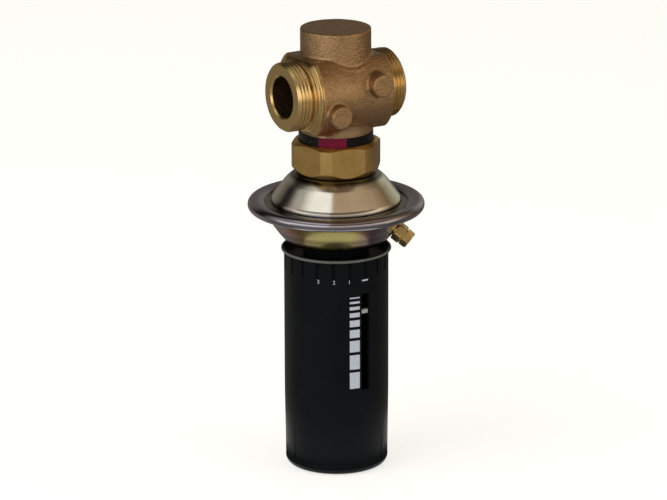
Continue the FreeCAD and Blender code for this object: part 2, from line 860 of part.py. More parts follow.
def build_fitting(d):
    """Impulse nipple with a hexagon, the ferrule inside it, and the compression nut."""
    bore = d.impulse_bore_radius
    way = bore - 1.0
    shank = d.nipple_shank_radius
    thread = shank + 0.3
    seat = 0.4
    tube_stop = seat + 2.6
    chamfer = 0.6
    joint_gap = 0.2
    nut_low = d.nipple_end + joint_gap
    ferrule_low = d.nipple_end + 1.6
    ferrule_edge = ferrule_low + 1.0
    ferrule_shoulder = ferrule_low + 2.0
    ferrule_high = ferrule_low + 2.8
    ferrule_radius = bore + 0.95
    nut_bore = bore + 0.15
    nut_cone_high = ferrule_high - 0.12
    nipple_round = d.nipple_flats / 2 * CORNER_SHARE
    nut_round = d.compression_flats / 2 * CORNER_SHARE

    nipple = new_body("impulse_nipple")
    revolve(nipple, [
        (way, -d.shank_depth),
        (shank, -d.shank_depth),
        (shank, seat),
        (nipple_round - chamfer, seat),
        (nipple_round, seat + chamfer),
        (nipple_round, d.nipple_end - chamfer),
        (nipple_round - chamfer, d.nipple_end),
        (thread, d.nipple_end),
        (thread, ferrule_edge),
        (ferrule_radius, ferrule_edge),
        (bore, ferrule_low),
        (bore, tube_stop),
        (way, tube_stop),
    ])
    mill_hexagon(nipple, d.nipple_flats, as_size(seat), d.nipple_end)

    ferrule = turned_part("compression_ferrule", [
        (bore, ferrule_low),
        (ferrule_radius, ferrule_edge),
        (ferrule_radius, ferrule_shoulder),
        (bore, ferrule_high),
    ])

    nut = new_body("compression_nut")
    revolve(nut, [
        (thread, nut_low),
        (nut_round - chamfer, nut_low),
        (nut_round, nut_low + chamfer),
        (nut_round, d.compression_end - chamfer * 2),
        (nut_round - chamfer, d.compression_end),
        (nut_bore, d.compression_end),
        (nut_bore, nut_cone_high),
        (ferrule_radius, ferrule_shoulder),
        (ferrule_radius, ferrule_edge),
        (thread, ferrule_edge),
    ])
    mill_hexagon(nut, d.compression_flats, d.nipple_end, d.compression_end)

    pieces = [nipple, ferrule, nut]
    for piece in pieces:
        piece.Placement = fitting_placement(d)
    return pieces


def mill_hexagon(body, flats, low, high, turn=None):
    """Mills six flats on a turned piece, between two heights."""
    waste = new_sketch(body, "XY_Plane", lift=low, turn=turn)
    draw_circle(waste, 0, 0, flats)
    draw_outline(waste, polygon(flats))
    extrude(body, waste, high - low, kind="PartDesign::Pocket", reverse=True)


def hexagon_nut(label, flats, bore, low, high):
    """A plain hexagon nut with a smooth bore."""
    body = new_body(label)
    section = new_sketch(body, "XY_Plane", lift=low)
    draw_outline(section, polygon(flats))
    draw_circle(section, 0, 0, bore)
    extrude(body, section, high - low)
    return body


def build_diaphragm(d):
    """Rolling diaphragm with its hub low, the plates on both sides, and the rod with the nut on them."""
    thickness = d.diaphragm_thickness
    bore = d.rod_radius - d.rod_step
    bead = d.clamp_height - thickness
    hub = bead - d.hub_drop
    hub_top = hub + thickness
    hub_edge = d.plate_radius + 1.0
    slant = thickness * 0.4
    diaphragm = turned_part("diaphragm", [
        (bore, hub),
        (hub_edge, hub),
        (d.fold_radius, bead, -d.fold_round),
        (d.flange_radius, bead),
        (d.flange_radius, bead + thickness),
        (d.fold_radius - slant, bead + thickness),
        (hub_edge + slant, hub_top, d.fold_round - 0.5),
        (bore, hub_top),
    ])
    sheet = 2.0
    rim_height = 3.0
    rim_width = 1.5
    corner = 1.0
    upper = turned_part("upper_diaphragm_plate", [
        (bore, hub_top),
        (d.plate_radius - corner, hub_top),
        (d.plate_radius, hub_top + corner, corner),
        (d.plate_radius, hub_top + rim_height),
        (d.plate_radius - rim_width, hub_top + rim_height),
        (d.plate_radius - sheet, hub_top + sheet),
        (bore, hub_top + sheet),
    ])
    lower_radius = d.plate_radius - 2.0
    lower = turned_part("lower_diaphragm_plate", [
        (bore, hub - sheet),
        (lower_radius - corner, hub - sheet),
        (lower_radius, hub - corner, corner),
        (lower_radius, hub),
        (bore, hub),
    ])
    nut_low = hub_top + sheet
    nut = hexagon_nut("diaphragm_nut", d.rod_nut_flats, bore, nut_low, nut_low + d.rod_nut_height)
    plate_low = d.spring_seat - d.plate_thickness
    rod_low = plate_low - d.rod_tail
    socket_low = d.casing_top - 4.0
    rod = turned_part("actuator_stem", [
        (0, rod_low),
        (bore - d.rod_chamfer, rod_low),
        (bore, rod_low + d.rod_chamfer),
        (bore, plate_low),
        (d.rod_radius, plate_low),
        (d.rod_radius, hub - sheet),
        (bore, hub - sheet),
        (bore, socket_low),
        (d.stem_radius, socket_low),
        (d.stem_radius, d.stem_joint),
        (0, d.stem_joint),
    ])
    return [diaphragm, upper, lower, nut, rod]


def build_spindle(d):
    """Threaded tube that hangs from the lower casing, and the disc and ring that keep the handle on it."""
    chamfer = 1.0
    flange_radius = 15.0
    flange_low = d.casing_bottom + d.sheet_wall
    flange_high = flange_low + 4.0
    ring_high = d.web_bottom - d.body_gap
    ring_low = ring_high - d.ring_thickness
    groove = d.tube_radius - 1.2
    tube = turned_part("spindle_tube", [
        (d.tube_bore_radius, d.tube_end),
        (d.tube_radius - chamfer, d.tube_end),
        (d.tube_radius, d.tube_end + chamfer),
        (d.tube_radius, ring_low),
        (groove, ring_low),
        (groove, ring_high),
        (d.tube_radius, ring_high),
        (d.tube_radius, flange_low),
        (flange_radius, flange_low),
        (flange_radius, flange_high - chamfer),
        (flange_radius - chamfer, flange_high),
        (d.tube_bore_radius, flange_high),
    ])
    disc_low = d.web_top + d.body_gap
    disc = turned_part("bearing_disc", [
        (d.tube_radius, disc_low),
        (d.disc_radius - chamfer, disc_low),
        (d.disc_radius, disc_low + chamfer),
        (d.disc_radius, d.casing_bottom),
        (d.tube_radius, d.casing_bottom),
    ])
    ring_radius = 13.0
    gap_half = 2.5
    overcut = 1.0
    ring = turned_part("retaining_ring", rectangle(groove, ring_radius, ring_low, ring_high))
    gap = new_sketch(ring, "XY_Plane", lift=ring_low - overcut)
    draw_outline(gap, rectangle(groove / 2, ring_radius + overcut, -gap_half, gap_half))
    extrude(ring, gap, d.ring_thickness + overcut * 2, kind="PartDesign::Pocket", reverse=True)
    return [tube, disc, ring]


def build_setting_nut(d):
    """Nut that runs on the tube, notched for the handle's keys, with the pointer and the spring's washer."""
    low = d.nut_middle - d.nut_thickness / 2
    high = d.nut_middle + d.nut_thickness / 2
    rim_low = d.nut_middle - d.pointer_height / 2
    rim_high = d.nut_middle + d.pointer_height / 2
    foot = low - d.nut_foot_height
    reach = d.handle_radius - d.handle_wall - d.body_gap
    bore = d.tube_radius + d.body_gap
    foot_radius = 22.0
    collar_low_radius = 18.0
    collar_radius = 16.0
    collar_high = high + 5.0
    nut = new_body("setting_nut")
    revolve(nut, [
        (bore, foot),
        (foot_radius, foot),
        (foot_radius, low),
        (reach, rim_low),
        (reach, rim_high),
        (collar_low_radius, high),
        (collar_radius, collar_high),
        (bore, collar_high),
    ])
    overcut = 1.0
    notch = new_sketch(nut, "XY_Plane", lift=foot, turn=d.slot_azimuth + d.key_azimuth)
    half = d.key_width / 2 + d.body_gap
    draw_outline(notch, rectangle(d.key_radius - d.body_gap, d.handle_radius, -half, half))
    cut = extrude(nut, notch, high - foot + overcut, kind="PartDesign::Pocket", reverse=True)
    repeat(nut, cut, d.key_count)

    washer_bore = bore + 1.0
    washer_radius = foot_radius - 0.5
    washer_low = foot - d.washer_thickness
    washer = turned_part("thrust_washer", rectangle(washer_bore, washer_radius, washer_low, foot))

    pointer = new_body("scale_pointer")
    tongue = new_sketch(pointer, "XY_Plane", lift=rim_low, turn=d.slot_azimuth)
    half = d.slot_width / 2 - d.body_gap
    root_reach = root(reach * reach - half * half)
    tip = d.handle_radius - d.pointer_inset
    corner = 0.5
    draw_outline(tongue, [
        (root_reach, -half, -reach),
        (tip - corner, -half),
        (tip, -half + corner, corner),
        (tip, half - corner),
        (tip - corner, half, corner),
        (root_reach, half),
    ])
    extrude(pointer, tongue, d.pointer_height)
    return [nut, washer, pointer]


def build_spring(d):
    """Compression spring of round wire between the washer and the spring plate."""
    washer_low = d.nut_middle - d.nut_thickness / 2 - d.nut_foot_height - d.washer_thickness
    length = washer_low - d.spring_seat
    body = new_body("setting_spring")
    wire = new_sketch(body, "XZ_Plane")
    draw_circle(wire, d.spring_mean_radius, d.spring_seat + d.spring_wire / 2, d.spring_wire / 2)
    coil = body.newObject("PartDesign::AdditiveHelix", "Coil")
    coil.Profile = wire
    coil.ReferenceAxis = (wire, ["V_Axis"])
    coil.Mode = "height-turns-angle"
    coil.setExpression("Height", (length - d.spring_wire).text)
    coil.setExpression("Turns", d.spring_turns.text)
    coil.Angle = 0
    return body


def build_spring_plate(d):
    """Lower spring seat on the rod, and the nut that locks it."""
    bottom = d.spring_seat - d.plate_thickness
    outer = 23.0
    foot = 20.0
    inner = outer - 2.0
    rim_high = d.spring_seat + 3.0
    bevel_high = d.spring_seat - 1.0
    plate = turned_part("spring_plate", [
        (d.rod_radius, bottom),
        (foot, bottom),
        (outer, bevel_high),
        (outer, rim_high),
        (inner, rim_high),
        (inner, d.spring_seat),
        (d.rod_radius, d.spring_seat),
    ])
    bore = d.rod_radius - d.rod_step
    nut = hexagon_nut("spring_lock_nut", d.rod_nut_flats, bore, bottom - d.lock_nut_height, bottom)
    return [plate, nut]


def build_handle(d):
    """Setting handle moulded in one piece: sleeve with lip, web, grooves, ribbed panels, slot and keys."""
    body = new_body("handle_sleeve")
    outer = d.handle_radius
    inner = d.handle_radius - d.handle_wall
    foot = outer - 0.5
    foot_rim = d.panel_bottom - 0.8
    lip_low = d.handle_height - d.lip_height
    lip_under = lip_low - 0.3
    under_round = 0.8
    lip_round = 0.9
    dish_slope = 1.2
    bore = d.tube_radius + d.body_gap
    cap_seat = d.panel_bottom - 1.0
    bore_low = d.panel_bottom + 1.0
    revolve(body, [
        (d.cap_radius, 0),
        (foot - d.foot_round, 0),
        (foot, d.foot_round, d.foot_round),
        (foot, foot_rim),
        (outer - d.panel_taper, d.panel_bottom),
        (outer, d.panel_top),
        (outer, lip_under),
        (d.lip_radius - under_round, lip_low),
        (d.lip_radius, lip_low + under_round, under_round),
        (d.lip_radius, d.handle_height - lip_round),
        (d.lip_radius - lip_round, d.handle_height, lip_round),
        (outer, d.handle_height),
        (outer - dish_slope, d.web_top),
        (bore, d.web_top),
        (bore, d.web_bottom),
        (inner, d.web_bottom),
        (inner, bore_low),
        (d.cap_radius, cap_seat),
    ])

    groove = new_sketch(body, "XY_Plane", lift=d.groove_bottom, turn=d.groove_azimuth)
    half = d.groove_width / 2
    floor = outer - d.groove_depth
    draw_outline(groove, [
        (d.lip_radius, -half),
        (d.lip_radius, half),
        (floor + half, half),
        (floor, 0, half),
        (floor + half, -half, half),
    ])
    groove_length = lip_under - 0.3 - d.groove_bottom
    cut = extrude(body, groove, groove_length, kind="PartDesign::Pocket", reverse=True)
    repeat(body, cut, d.groove_count)

    bite = 0.5
    rib = new_sketch(body, "XY_Plane", lift=d.foot_round, turn=d.rib_azimuth)
    half = d.rib_width / 2
    draw_outline(rib, rectangle(inner + bite, outer - d.rib_inset, -half, half))
    pad = extrude(body, rib, d.panel_top - d.foot_round)
    repeat(body, pad, d.rib_count)

    key = new_sketch(body, "XY_Plane", lift=d.panel_bottom, turn=d.slot_azimuth + d.key_azimuth)
    half = d.key_width / 2
    draw_outline(key, rectangle(d.key_radius, inner + bite, -half, half))
    pad = extrude(body, key, d.web_bottom - d.panel_bottom)
    repeat(body, pad, d.key_count)

    slot = new_sketch(body, "XY_Plane", lift=d.slot_bottom, turn=d.slot_azimuth)
    half = d.slot_width / 2
    draw_outline(slot, rectangle(d.key_radius, d.lip_radius, -half, half))
    extrude(body, slot, d.slot_top - d.slot_bottom, kind="PartDesign::Pocket", reverse=True)
    return body


def build_end_cap(d):
    """Cap pressed into the bottom of the handle, set back from its foot."""
    low = 1.2
    chamfer = 0.8
    floor = low + 1.6
    wall = 2.0
    rim = d.panel_bottom - 1.0
    return turned_part("end_cap", [
        (0, low),
        (d.cap_radius - chamfer, low),
        (d.cap_radius, low + chamfer),
        (d.cap_radius, rim),
        (d.cap_radius - wall, rim),
        (d.cap_radius - wall, floor),
        (0, floor),
    ])


def flatten(items):
    """One list of sub-parts from single ones and lists."""
    for item in items:
        if isinstance(item, list):
            yield from item
        else:
            yield item


def check_document():
    """Stops if any object failed or any sub-part has no valid solid."""
    doc.recompute()
    for item in doc.Objects:
        if "Invalid" in item.State or "Error" in item.State:
            raise RuntimeError(f"{item.Label}: {item.State}")
    for piece in sub_parts:
        if piece.Shape.isNull() or not piece.Shape.isValid() or len(piece.Shape.Solids) != 1:
            raise RuntimeError(f"{piece.Label}: not one valid solid")


def export_sub_parts():
    """Writes each sub-part to a file under its own label."""
    os.makedirs(OUTPUT_FOLDER, exist_ok=True)
    for piece in sub_parts:
        piece.Shape.exportStep(os.path.join(OUTPUT_FOLDER, f"{piece.Label}.step"))
        print(f"{piece.Label}: {piece.Shape.Volume / 1000:.2f} cm3")


doc = FreeCAD.newDocument("pressure_control_valve")
make_sheet(doc)
cells = Cells(DIMENSIONS)
BUILDERS = (
    build_valve_body,
    build_seat,
    build_cone,
    build_guide,
    build_union_nut,
    build_band,
    build_neck_bush,
    build_upper_casing,
    build_lower_casing,
    build_fitting,
    build_diaphragm,
    build_spindle,
    build_setting_nut,
    build_spring,
    build_spring_plate,
    build_handle,
    build_end_cap,
)
sub_parts = list(flatten(builder(cells) for builder in BUILDERS))
check_document()
export_sub_parts()
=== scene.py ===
"""Differential pressure control valve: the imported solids, dressed as the finished product on a studio floor.

The bronze casting, its turned ports, the printed marks and the spring are made here. The other solids are
shown as they are and get their finishes. Sizes are in millimetres, and in metres in the studio.
"""

import math

import bmesh
import bpy
from mathutils import Matrix, Vector, noise


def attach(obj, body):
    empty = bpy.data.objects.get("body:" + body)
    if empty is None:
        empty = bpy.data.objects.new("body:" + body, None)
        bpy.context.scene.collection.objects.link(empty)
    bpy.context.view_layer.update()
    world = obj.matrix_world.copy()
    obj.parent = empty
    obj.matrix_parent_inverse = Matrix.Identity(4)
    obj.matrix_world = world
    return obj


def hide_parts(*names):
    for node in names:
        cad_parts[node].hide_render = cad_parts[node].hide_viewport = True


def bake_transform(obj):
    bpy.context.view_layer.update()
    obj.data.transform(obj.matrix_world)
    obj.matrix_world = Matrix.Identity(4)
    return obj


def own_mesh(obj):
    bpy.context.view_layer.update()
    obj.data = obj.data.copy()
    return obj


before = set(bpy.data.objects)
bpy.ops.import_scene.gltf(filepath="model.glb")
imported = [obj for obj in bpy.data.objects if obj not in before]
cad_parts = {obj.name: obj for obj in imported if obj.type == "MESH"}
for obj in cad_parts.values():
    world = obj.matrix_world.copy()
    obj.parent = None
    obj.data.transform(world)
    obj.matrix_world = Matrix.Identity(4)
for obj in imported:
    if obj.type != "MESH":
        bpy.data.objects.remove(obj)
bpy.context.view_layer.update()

bl_info = {
    "name": "Differential pressure control valve",
    "version": (1, 0, 0),
    "blender": (4, 5, 0),
    "location": "View3D > Sidebar > Valve",
    "description": "Dresses the packed valve: casting, ports, casings, fitting, handle, scale and studio",
    "category": "Object",
}

MM = 0.001
METAL = {"Metallic": 1.0}

# Places of the solids that the pieces made here have to meet.
PIPE_HEIGHT = 233.5
DRUM_HALF_LENGTH = 24.4
DRUM_RADIUS = 28.1
DRUM_TOP = 22.2
DRUM_BOTTOM = 22.0
BOSS_RADIUS = 21.3
NECK_RADIUS = 21.9
NECK_REACH = 217.5
PORT_END = 37.5
PORT_BORE = 12.5
BAND_RADIUS = 22.4
BAND_LOW = 202.3
BAND_HIGH = 208.9
HANDLE_RADIUS = 31.5
SPRING_LOW = 20.0
SPRING_HIGH = 97.8

# The photograph's view: where the camera stands round the valve and how it looks at it.
VIEW_AZIMUTH = -31.2
VIEW_ELEVATION = 16.7
VIEW_DISTANCE = 2650.0
VIEW_HEIGHT = 133.5
VIEW_LENS = 237.4
VIEW_ASIDE = 1.63
VIEW_ROLL = -0.0028
FRONT = VIEW_AZIMUTH - 90


def linear(code):
    """Turn an sRGB hex colour into linear red, green and blue."""
    values = []
    for place in (1, 3, 5):
        share = int(code[place:place + 2], 16) / 255
        if share <= 0.04045:
            values.append(share / 12.92)
        else:
            values.append(((share + 0.055) / 1.055) ** 2.4)
    return values


def colour(label, code, text):
    """One colour of a finish, as a property that a user can change."""
    return bpy.props.FloatVectorProperty(
        name=label, description=text, subtype="COLOR", size=3, min=0, max=1, default=linear(code))


def size(label, value, text):
    """One size in metres, given in millimetres, as a property that a user can change."""
    return bpy.props.FloatProperty(
        name=label, description=text, subtype="DISTANCE", unit="LENGTH", min=0, default=value * MM)


def power(label, value, text, unit="POWER"):
    """How strong one light is, as a property that a user can change."""
    return bpy.props.FloatProperty(name=label, description=text, unit=unit, min=0, default=value)


class ValveBodySettings(bpy.types.PropertyGroup):
    """Sizes and colours of the bronze body, its ports and its band."""

    thread_pitch: size("Thread pitch", 2.309, "Pitch of the pipe thread, 11 turns to the inch")
    thread_crest: size("Thread radius", 20.955, "Radius over the crests of the pipe thread")
    # The standard's thread is 1.479 mm deep. It is drawn shallower, so that its round crests carry the light.
    thread_depth: size("Thread depth", 0.95, "Depth of the pipe thread as it is drawn")
    net: size("Casting net", 0.7, "Size of the faces that the casting's skin is made of")
    cast_relief: size("Cast relief", 0.22, "How far the cast skin falls back between its high spots")
    cast_colour: colour("Cast bronze", "#BF9B74", "Skin of the casting")
    cast_shade: colour("Cast shade", "#A78763", "Darker patches of the casting")
    # The waterways' dark brown is the as-cast skin and painted shade deep inside them.
    core_colour: colour("Core", "#6A5440", "Waterways, dark from the sand core")
    turned_colour: colour("Turned bronze", "#E6C386", "Freshly turned bronze of the ports")
    neck_colour: colour("Turned neck", "#C4A482", "Turned neck, paler and pinker than the ports")
    band_colour: colour("Band", "#060506", "Film of the band")
    field_colour: colour("Band field", "#8E0A3A", "Coloured field on the band")


class ValveCasingSettings(bpy.types.PropertyGroup):
    """Colours of the pressed casings, the brass pieces and the inner metal."""

    brass_colour: colour("Brass", "#D2AF6F", "Turned and milled brass")
    brass_shade: colour("Brass shade", "#C39F5C", "Handled, darker brass")
    # The fitting's lighter brass is painted light, for the bright reflections of its facets.
    fresh_colour: colour("Fresh brass", "#F4D695", "Freshly cut brass of the fitting")
    dome_colour: colour("Dome", "#E8E3D9", "Passivated zinc on the upper casing")
    dome_shade: colour("Dome shade", "#DAD8C6", "Greener film on the upper casing")
    rim_colour: colour("Rim", "#A09BA6", "Violet grey film on the rolled rim")
    zinc_colour: colour("Zinc", "#B9BCC2", "Plain zinc plating")
    steel_colour: colour("Stainless steel", "#BDBBB7", "Turned stainless steel")
    wire_colour: colour("Spring wire", "#55565A", "Phosphated spring wire")


class ValveHandleSettings(bpy.types.PropertyGroup):
    """Sizes and colours of the setting handle and its scale."""

    plastic_colour: colour("Handle", "#14171A", "Black polyamide of the handle")
    # The lip's paler grey is a painted highlight along its edge.
    worn_colour: colour("Worn edge", "#80807C", "Polyamide of the lip, rubbed pale by hands")
    ink_colour: colour("Ink", "#EBF1FF", "White printed ink of the scale")
    pointer_colour: colour("Pointer", "#C9C8C2", "Light grey acetal of the pointer")
    rubber_colour: colour("Rubber", "#232324", "Moulded rubber of the seals")
    bar_gap: size("Bar gap", 1.9, "Gap between two bars of the scale")
    bar_top: size("Scale top", 112.7, "Height of the scale's top edge")
    figure_height: size("Figure size", 2.3, "Height of the small figures under the grooves")
    figure_level: size("Figure level", 122.6, "Height at which the small figures stand")


class ValveStudioSettings(bpy.types.PropertyGroup):
    """Floor, light and camera."""

    floor_colour: colour("Floor", "#F4F3EF", "Pale paper of the floor")
    floor_radius: size("Floor radius", 3300.0, "Radius of the paper floor")
    key_power: power("Key light", 9.0, "Power of the softbox at the front left")
    fill_power: power("Fill light", 4.0, "Power of the softbox at the right")
    room_light: power("Room light", 0.55, "Even light from the room on matt surfaces", "NONE")


def add(tree, kind, sockets=None, stops=(), **settings):
    """Add one shader node: its settings, its sockets as values or links, and the stops of a colour ramp."""
    made = tree.nodes.new("ShaderNode" + kind)
    for name, value in settings.items():
        setattr(made, name, value)
    for name, value in (sockets or {}).items():
        if isinstance(value, bpy.types.Node):
            tree.links.new(value.outputs[0], made.inputs[name])
        elif isinstance(value, bpy.types.NodeSocket):
            tree.links.new(value, made.inputs[name])
        else:
            made.inputs[name].default_value = value
    for number, (place, shade) in enumerate(stops):
        if number >= len(made.color_ramp.elements):
            made.color_ramp.elements.new(place)
        made.color_ramp.elements[number].position = place
        made.color_ramp.elements[number].color = shade
    return made


def begin(name):
    """Begin a finish: the material, its node tree and the piece's own coordinates in millimetres."""
    made = bpy.data.materials.new(name)
    made.use_nodes = True
    tree = made.node_tree
    tree.nodes.clear()
    place = add(tree, "TexCoord")
    mm = add(tree, "VectorMath", {0: place.outputs["Object"], "Scale": 1 / MM}, operation="SCALE")
    return made, tree, mm


def surface(made, sockets):
    """End a finish with its surface shader."""
    tree = made.node_tree
    shader = add(tree, "BsdfPrincipled", sockets)
    add(tree, "OutputMaterial", {"Surface": shader})
    return made


def grained(made, grain, tint, relief, rough, shader):
    """End a finish whose grain gives its relief (strength, depth) and its roughness (lowest, highest)."""
    tree = made.node_tree
    bump = add(tree, "Bump", {"Strength": relief[0], "Distance": relief[1] * MM, "Height": grain})
    gloss = add(tree, "MapRange", {"Value": grain, "To Min": rough[0], "To Max": rough[1]})
    return surface(made, {"Base Color": tint, "Roughness": gloss, "Normal": bump, **shader})


def solid(shade, share=1.0):
    """A colour, or a darker share of it, with its alpha."""
    return (*[value * share for value in shade], 1)


def opaque(code):
    """An sRGB hex colour as a linear one with its alpha."""
    return solid(linear(code))


def grey(value):
    """A grey that stands for a plain value in a ramp."""
    return (value, value, value, 1)


def shades(tree, pattern, shade, low, high):
    """One colour that follows a pattern: the pattern's value and the colour's share, at two stops."""
    stops = [(place, solid(shade, share)) for place, share in (low, high)]
    return add(tree, "ValToRGB", {"Fac": pattern}, stops=stops)


def curve(tree, value, rows):
    """A plain value that follows another one through rows of both."""
    return add(tree, "ValToRGB", {"Fac": value}, stops=[(place, grey(level)) for place, level in rows])


def hues(tree, value, rows):
    """A colour that follows a value through rows of values and sRGB hex colours."""
    return add(tree, "ValToRGB", {"Fac": value}, stops=[(place, opaque(code)) for place, code in rows])


def mottled(name, shade, lumps, low, high, relief, rough, shader):
    """A finish in two shades of one colour: lumps (size, detail, raggedness) also raise it and dull it."""
    made, tree, mm = begin(name)
    width, detail, ragged = lumps
    grain = add(tree, "TexNoise", {"Vector": mm, "Scale": 1 / width, "Detail": detail, "Roughness": ragged})
    return grained(made, grain, shades(tree, grain, shade, low, high), relief, rough, shader)


def off_axis(tree, mm):
    """Distance from the upright axis."""
    flat = add(tree, "VectorMath", {0: mm, 1: (1, 1, 0)}, operation="MULTIPLY")
    return add(tree, "VectorMath", {0: flat}, operation="LENGTH").outputs["Value"]


def round_axis(tree, vector):
    """A vector turned so that X is the photograph's side, and the share of a turn that it stands at."""
    turn = math.radians(-FRONT)
    turned = add(tree, "VectorRotate", {"Vector": vector, "Angle": turn}, rotation_type="Z_AXIS")
    return turned, add(tree, "TexGradient", {"Vector": turned}, gradient_type="RADIAL")


def turning_marks(tree, mm, spacing, centre=(0, 0, 0), across=(1, 1, 0)):
    """Rings that a lathe tool leaves: noise that changes only along and away from the turning axis."""
    moved = add(tree, "VectorMath", {0: mm, 1: centre}, operation="SUBTRACT")
    flat = add(tree, "VectorMath", {0: moved, 1: across}, operation="MULTIPLY")
    radius = add(tree, "VectorMath", {0: flat}, operation="LENGTH")
    along = tuple(1 - share for share in across)
    reach = add(tree, "VectorMath", {0: moved, 1: along}, operation="DOT_PRODUCT")
    spot = add(tree, "CombineXYZ", {"X": radius.outputs["Value"], "Y": reach.outputs["Value"]})
    return add(tree, "TexNoise", {"Vector": spot, "Scale": 1 / spacing, "Detail": 2.0, "Roughness": 0.6})


def bronze_sand_cast(look):
    """Gunmetal bronze, cast in sand and blasted."""
    # The blasted skin scatters light: a dull brown gold in soft patches, with sand grain and a few pits.
    made, tree, mm = begin("bronze_sand_cast")
    patches = add(tree, "TexNoise", {"Vector": mm, "Scale": 1 / 6.0, "Detail": 5.0, "Roughness": 0.65})
    tint = add(tree, "ValToRGB", {"Fac": patches}, stops=(
        (0.30, solid(look.cast_shade)),
        (0.50, solid(look.cast_colour, 0.94)),
        (0.70, solid(look.cast_colour))))
    # Moulding sand is about 0.3 mm. It is drawn four times as coarse, so that it shows.
    grain = add(tree, "TexNoise", {"Vector": mm, "Scale": 1 / 1.2, "Detail": 3.0, "Roughness": 0.7})
    pits = add(tree, "TexVoronoi", {"Vector": mm, "Scale": 1 / 2.4})
    depth = add(tree, "MapRange", {
        "Value": pits.outputs["Distance"], "From Min": 0.05, "From Max": 0.28, "To Min": 0.35, "To Max": 1.0})
    skin = add(tree, "Math", {0: grain, 1: depth}, operation="MULTIPLY")
    bump = add(tree, "Bump", {"Strength": 0.8, "Distance": 0.5 * MM, "Height": skin})
    rough = add(tree, "MapRange", {"Value": grain, "To Min": 0.30, "To Max": 0.44})
    return surface(made, {"Base Color": tint, "Roughness": rough, "Normal": bump, **METAL})


def bronze_cored(look):
    """The same bronze inside the waterways, where a baked sand core shaped it."""
    # The as-cast skin inside is brown; its dark colour is also painted shade deep in the waterways.
    return mottled(
        "bronze_cored", look.core_colour, lumps=(3.0, 4.0, 0.6), low=(0.3, 0.6), high=(0.7, 1.0),
        relief=(0.4, 0.4), rough=(0.5, 0.7), shader=METAL)


def bronze_turned(look):
    """The same bronze where the ports were turned on a lathe."""
    # Bare turned metal is clean and golden, with fine tool rings that stretch its highlights.
    made, tree, mm = begin("bronze_turned")
    # The tool's feed is about 0.2 mm. The rings are drawn as wide as 0.9 mm, so that they show.
    rings = turning_marks(tree, mm, 0.9, centre=(0, 0, PIPE_HEIGHT), across=(0, 1, 1))
    tint = shades(tree, rings, look.turned_colour, (0.25, 0.72), (0.75, 1.0))
    return grained(made, rings, tint, relief=(0.25, 0.15), rough=(0.18, 0.30), shader=METAL)


def bronze_turned_neck(look):
    """The same bronze on the neck, turned with a slower cut."""
    # The slower cut leaves a duller, pinker metal with rings round the upright axis.
    made, tree, mm = begin("bronze_turned_neck")
    rings = turning_marks(tree, mm, 1.0)
    tint = shades(tree, rings, look.neck_colour, (0.25, 0.75), (0.75, 1.0))
    return grained(made, rings, tint, relief=(0.3, 0.15), rough=(0.34, 0.48), shader=METAL)


def film_printed(name, shade):
    """Polyester film, printed and wrapped round the neck."""
    # Smooth printed film: even colour, a soft gloss, and slow waves where it doesn't lie quite flat.
    return mottled(
        name, shade, lumps=(4.0, 2.0, 0.5), low=(0.3, 0.85), high=(0.7, 1.0),
        relief=(0.15, 0.2), rough=(0.26, 0.36), shader={"IOR": 1.57, "Specular IOR Level": 0.2})


def brass(name, light, shade):
    """Free-cutting brass, milled from bar and turned at its ends."""
    # Satin olive gold: fine cutter lines, slightly darker where hands and flux have dulled it.
    made, tree, mm = begin(name)
    dull = add(tree, "TexNoise", {"Vector": mm, "Scale": 1 / 7.0, "Detail": 4.0, "Roughness": 0.6})
    tint = add(tree, "ValToRGB", {"Fac": dull}, stops=((0.28, solid(shade)), (0.62, solid(light))))
    # Cutter lines are about 0.1 mm apart. They are drawn at 0.8 mm, so that they show.
    stretched = add(tree, "VectorMath", {0: mm, 1: (0.08, 0.08, 1.0)}, operation="MULTIPLY")
    lines = add(tree, "TexNoise", {"Vector": stretched, "Scale": 1 / 0.8, "Detail": 3.0, "Roughness": 0.65})
    return grained(made, lines, tint, relief=(0.12, 0.12), rough=(0.24, 0.38), shader=METAL)


def brass_machined(look):
    """Brass of the nut and the inner pieces, dulled by handling."""
    return brass("brass_machined", look.brass_colour, look.brass_shade)


def brass_lit_copy(look):
    """Brass of the impulse fitting: the same brass, lighter, as painted light for the bright reflections of
    its facets.
    """
    return brass("brass_lit_copy", look.fresh_colour, look.brass_colour)


def steel_passivated_dome(look):
    """Pressed steel sheet, zinc plated and passivated, on the upper casing."""
    # A thin clear film over bright zinc: almost silver, drifting towards pink and green, with a pressed
    # gloss. Painted shade darkens it on the flange, and most round the nut's foot, where it is the nut's
    # painted shadow and reflection.
    made, tree, mm = begin("steel_passivated_dome")
    film = add(tree, "TexNoise", {"Vector": mm, "Scale": 1 / 26.0, "Detail": 2.0, "Roughness": 0.45})
    tint = add(tree, "ValToRGB", {"Fac": film}, stops=(
        (0.32, solid(look.dome_shade)), (0.52, solid(look.dome_colour)), (0.72, opaque("#E4D9CC"))))
    height = add(tree, "SeparateXYZ", {"Vector": mm})
    # Painted shade: darker on the flange, and darkest close round the nut's foot for its shadow and
    # reflection.
    flange_shade = add(tree, "MapRange", {
        "Value": height.outputs["Z"], "From Min": 166.3, "From Max": 167.0, "To Min": 0.32, "To Max": 1.0})
    nut_shadow = add(tree, "MapRange", {
        "Value": off_axis(tree, mm), "From Min": 26.8, "From Max": 28.8, "To Min": 0.12, "To Max": 1.0})
    painted_shade_share = add(tree, "Math", {0: flange_shade, 1: nut_shadow}, operation="MULTIPLY")
    coat = add(tree, "VectorMath", {0: tint, "Scale": painted_shade_share}, operation="SCALE")
    # The press tool's drawing lines run round the dome, about 1 mm apart.
    lines = turning_marks(tree, mm, 1.1)
    return grained(made, lines, coat, relief=(0.04, 0.1), rough=(0.12, 0.18), shader=METAL)


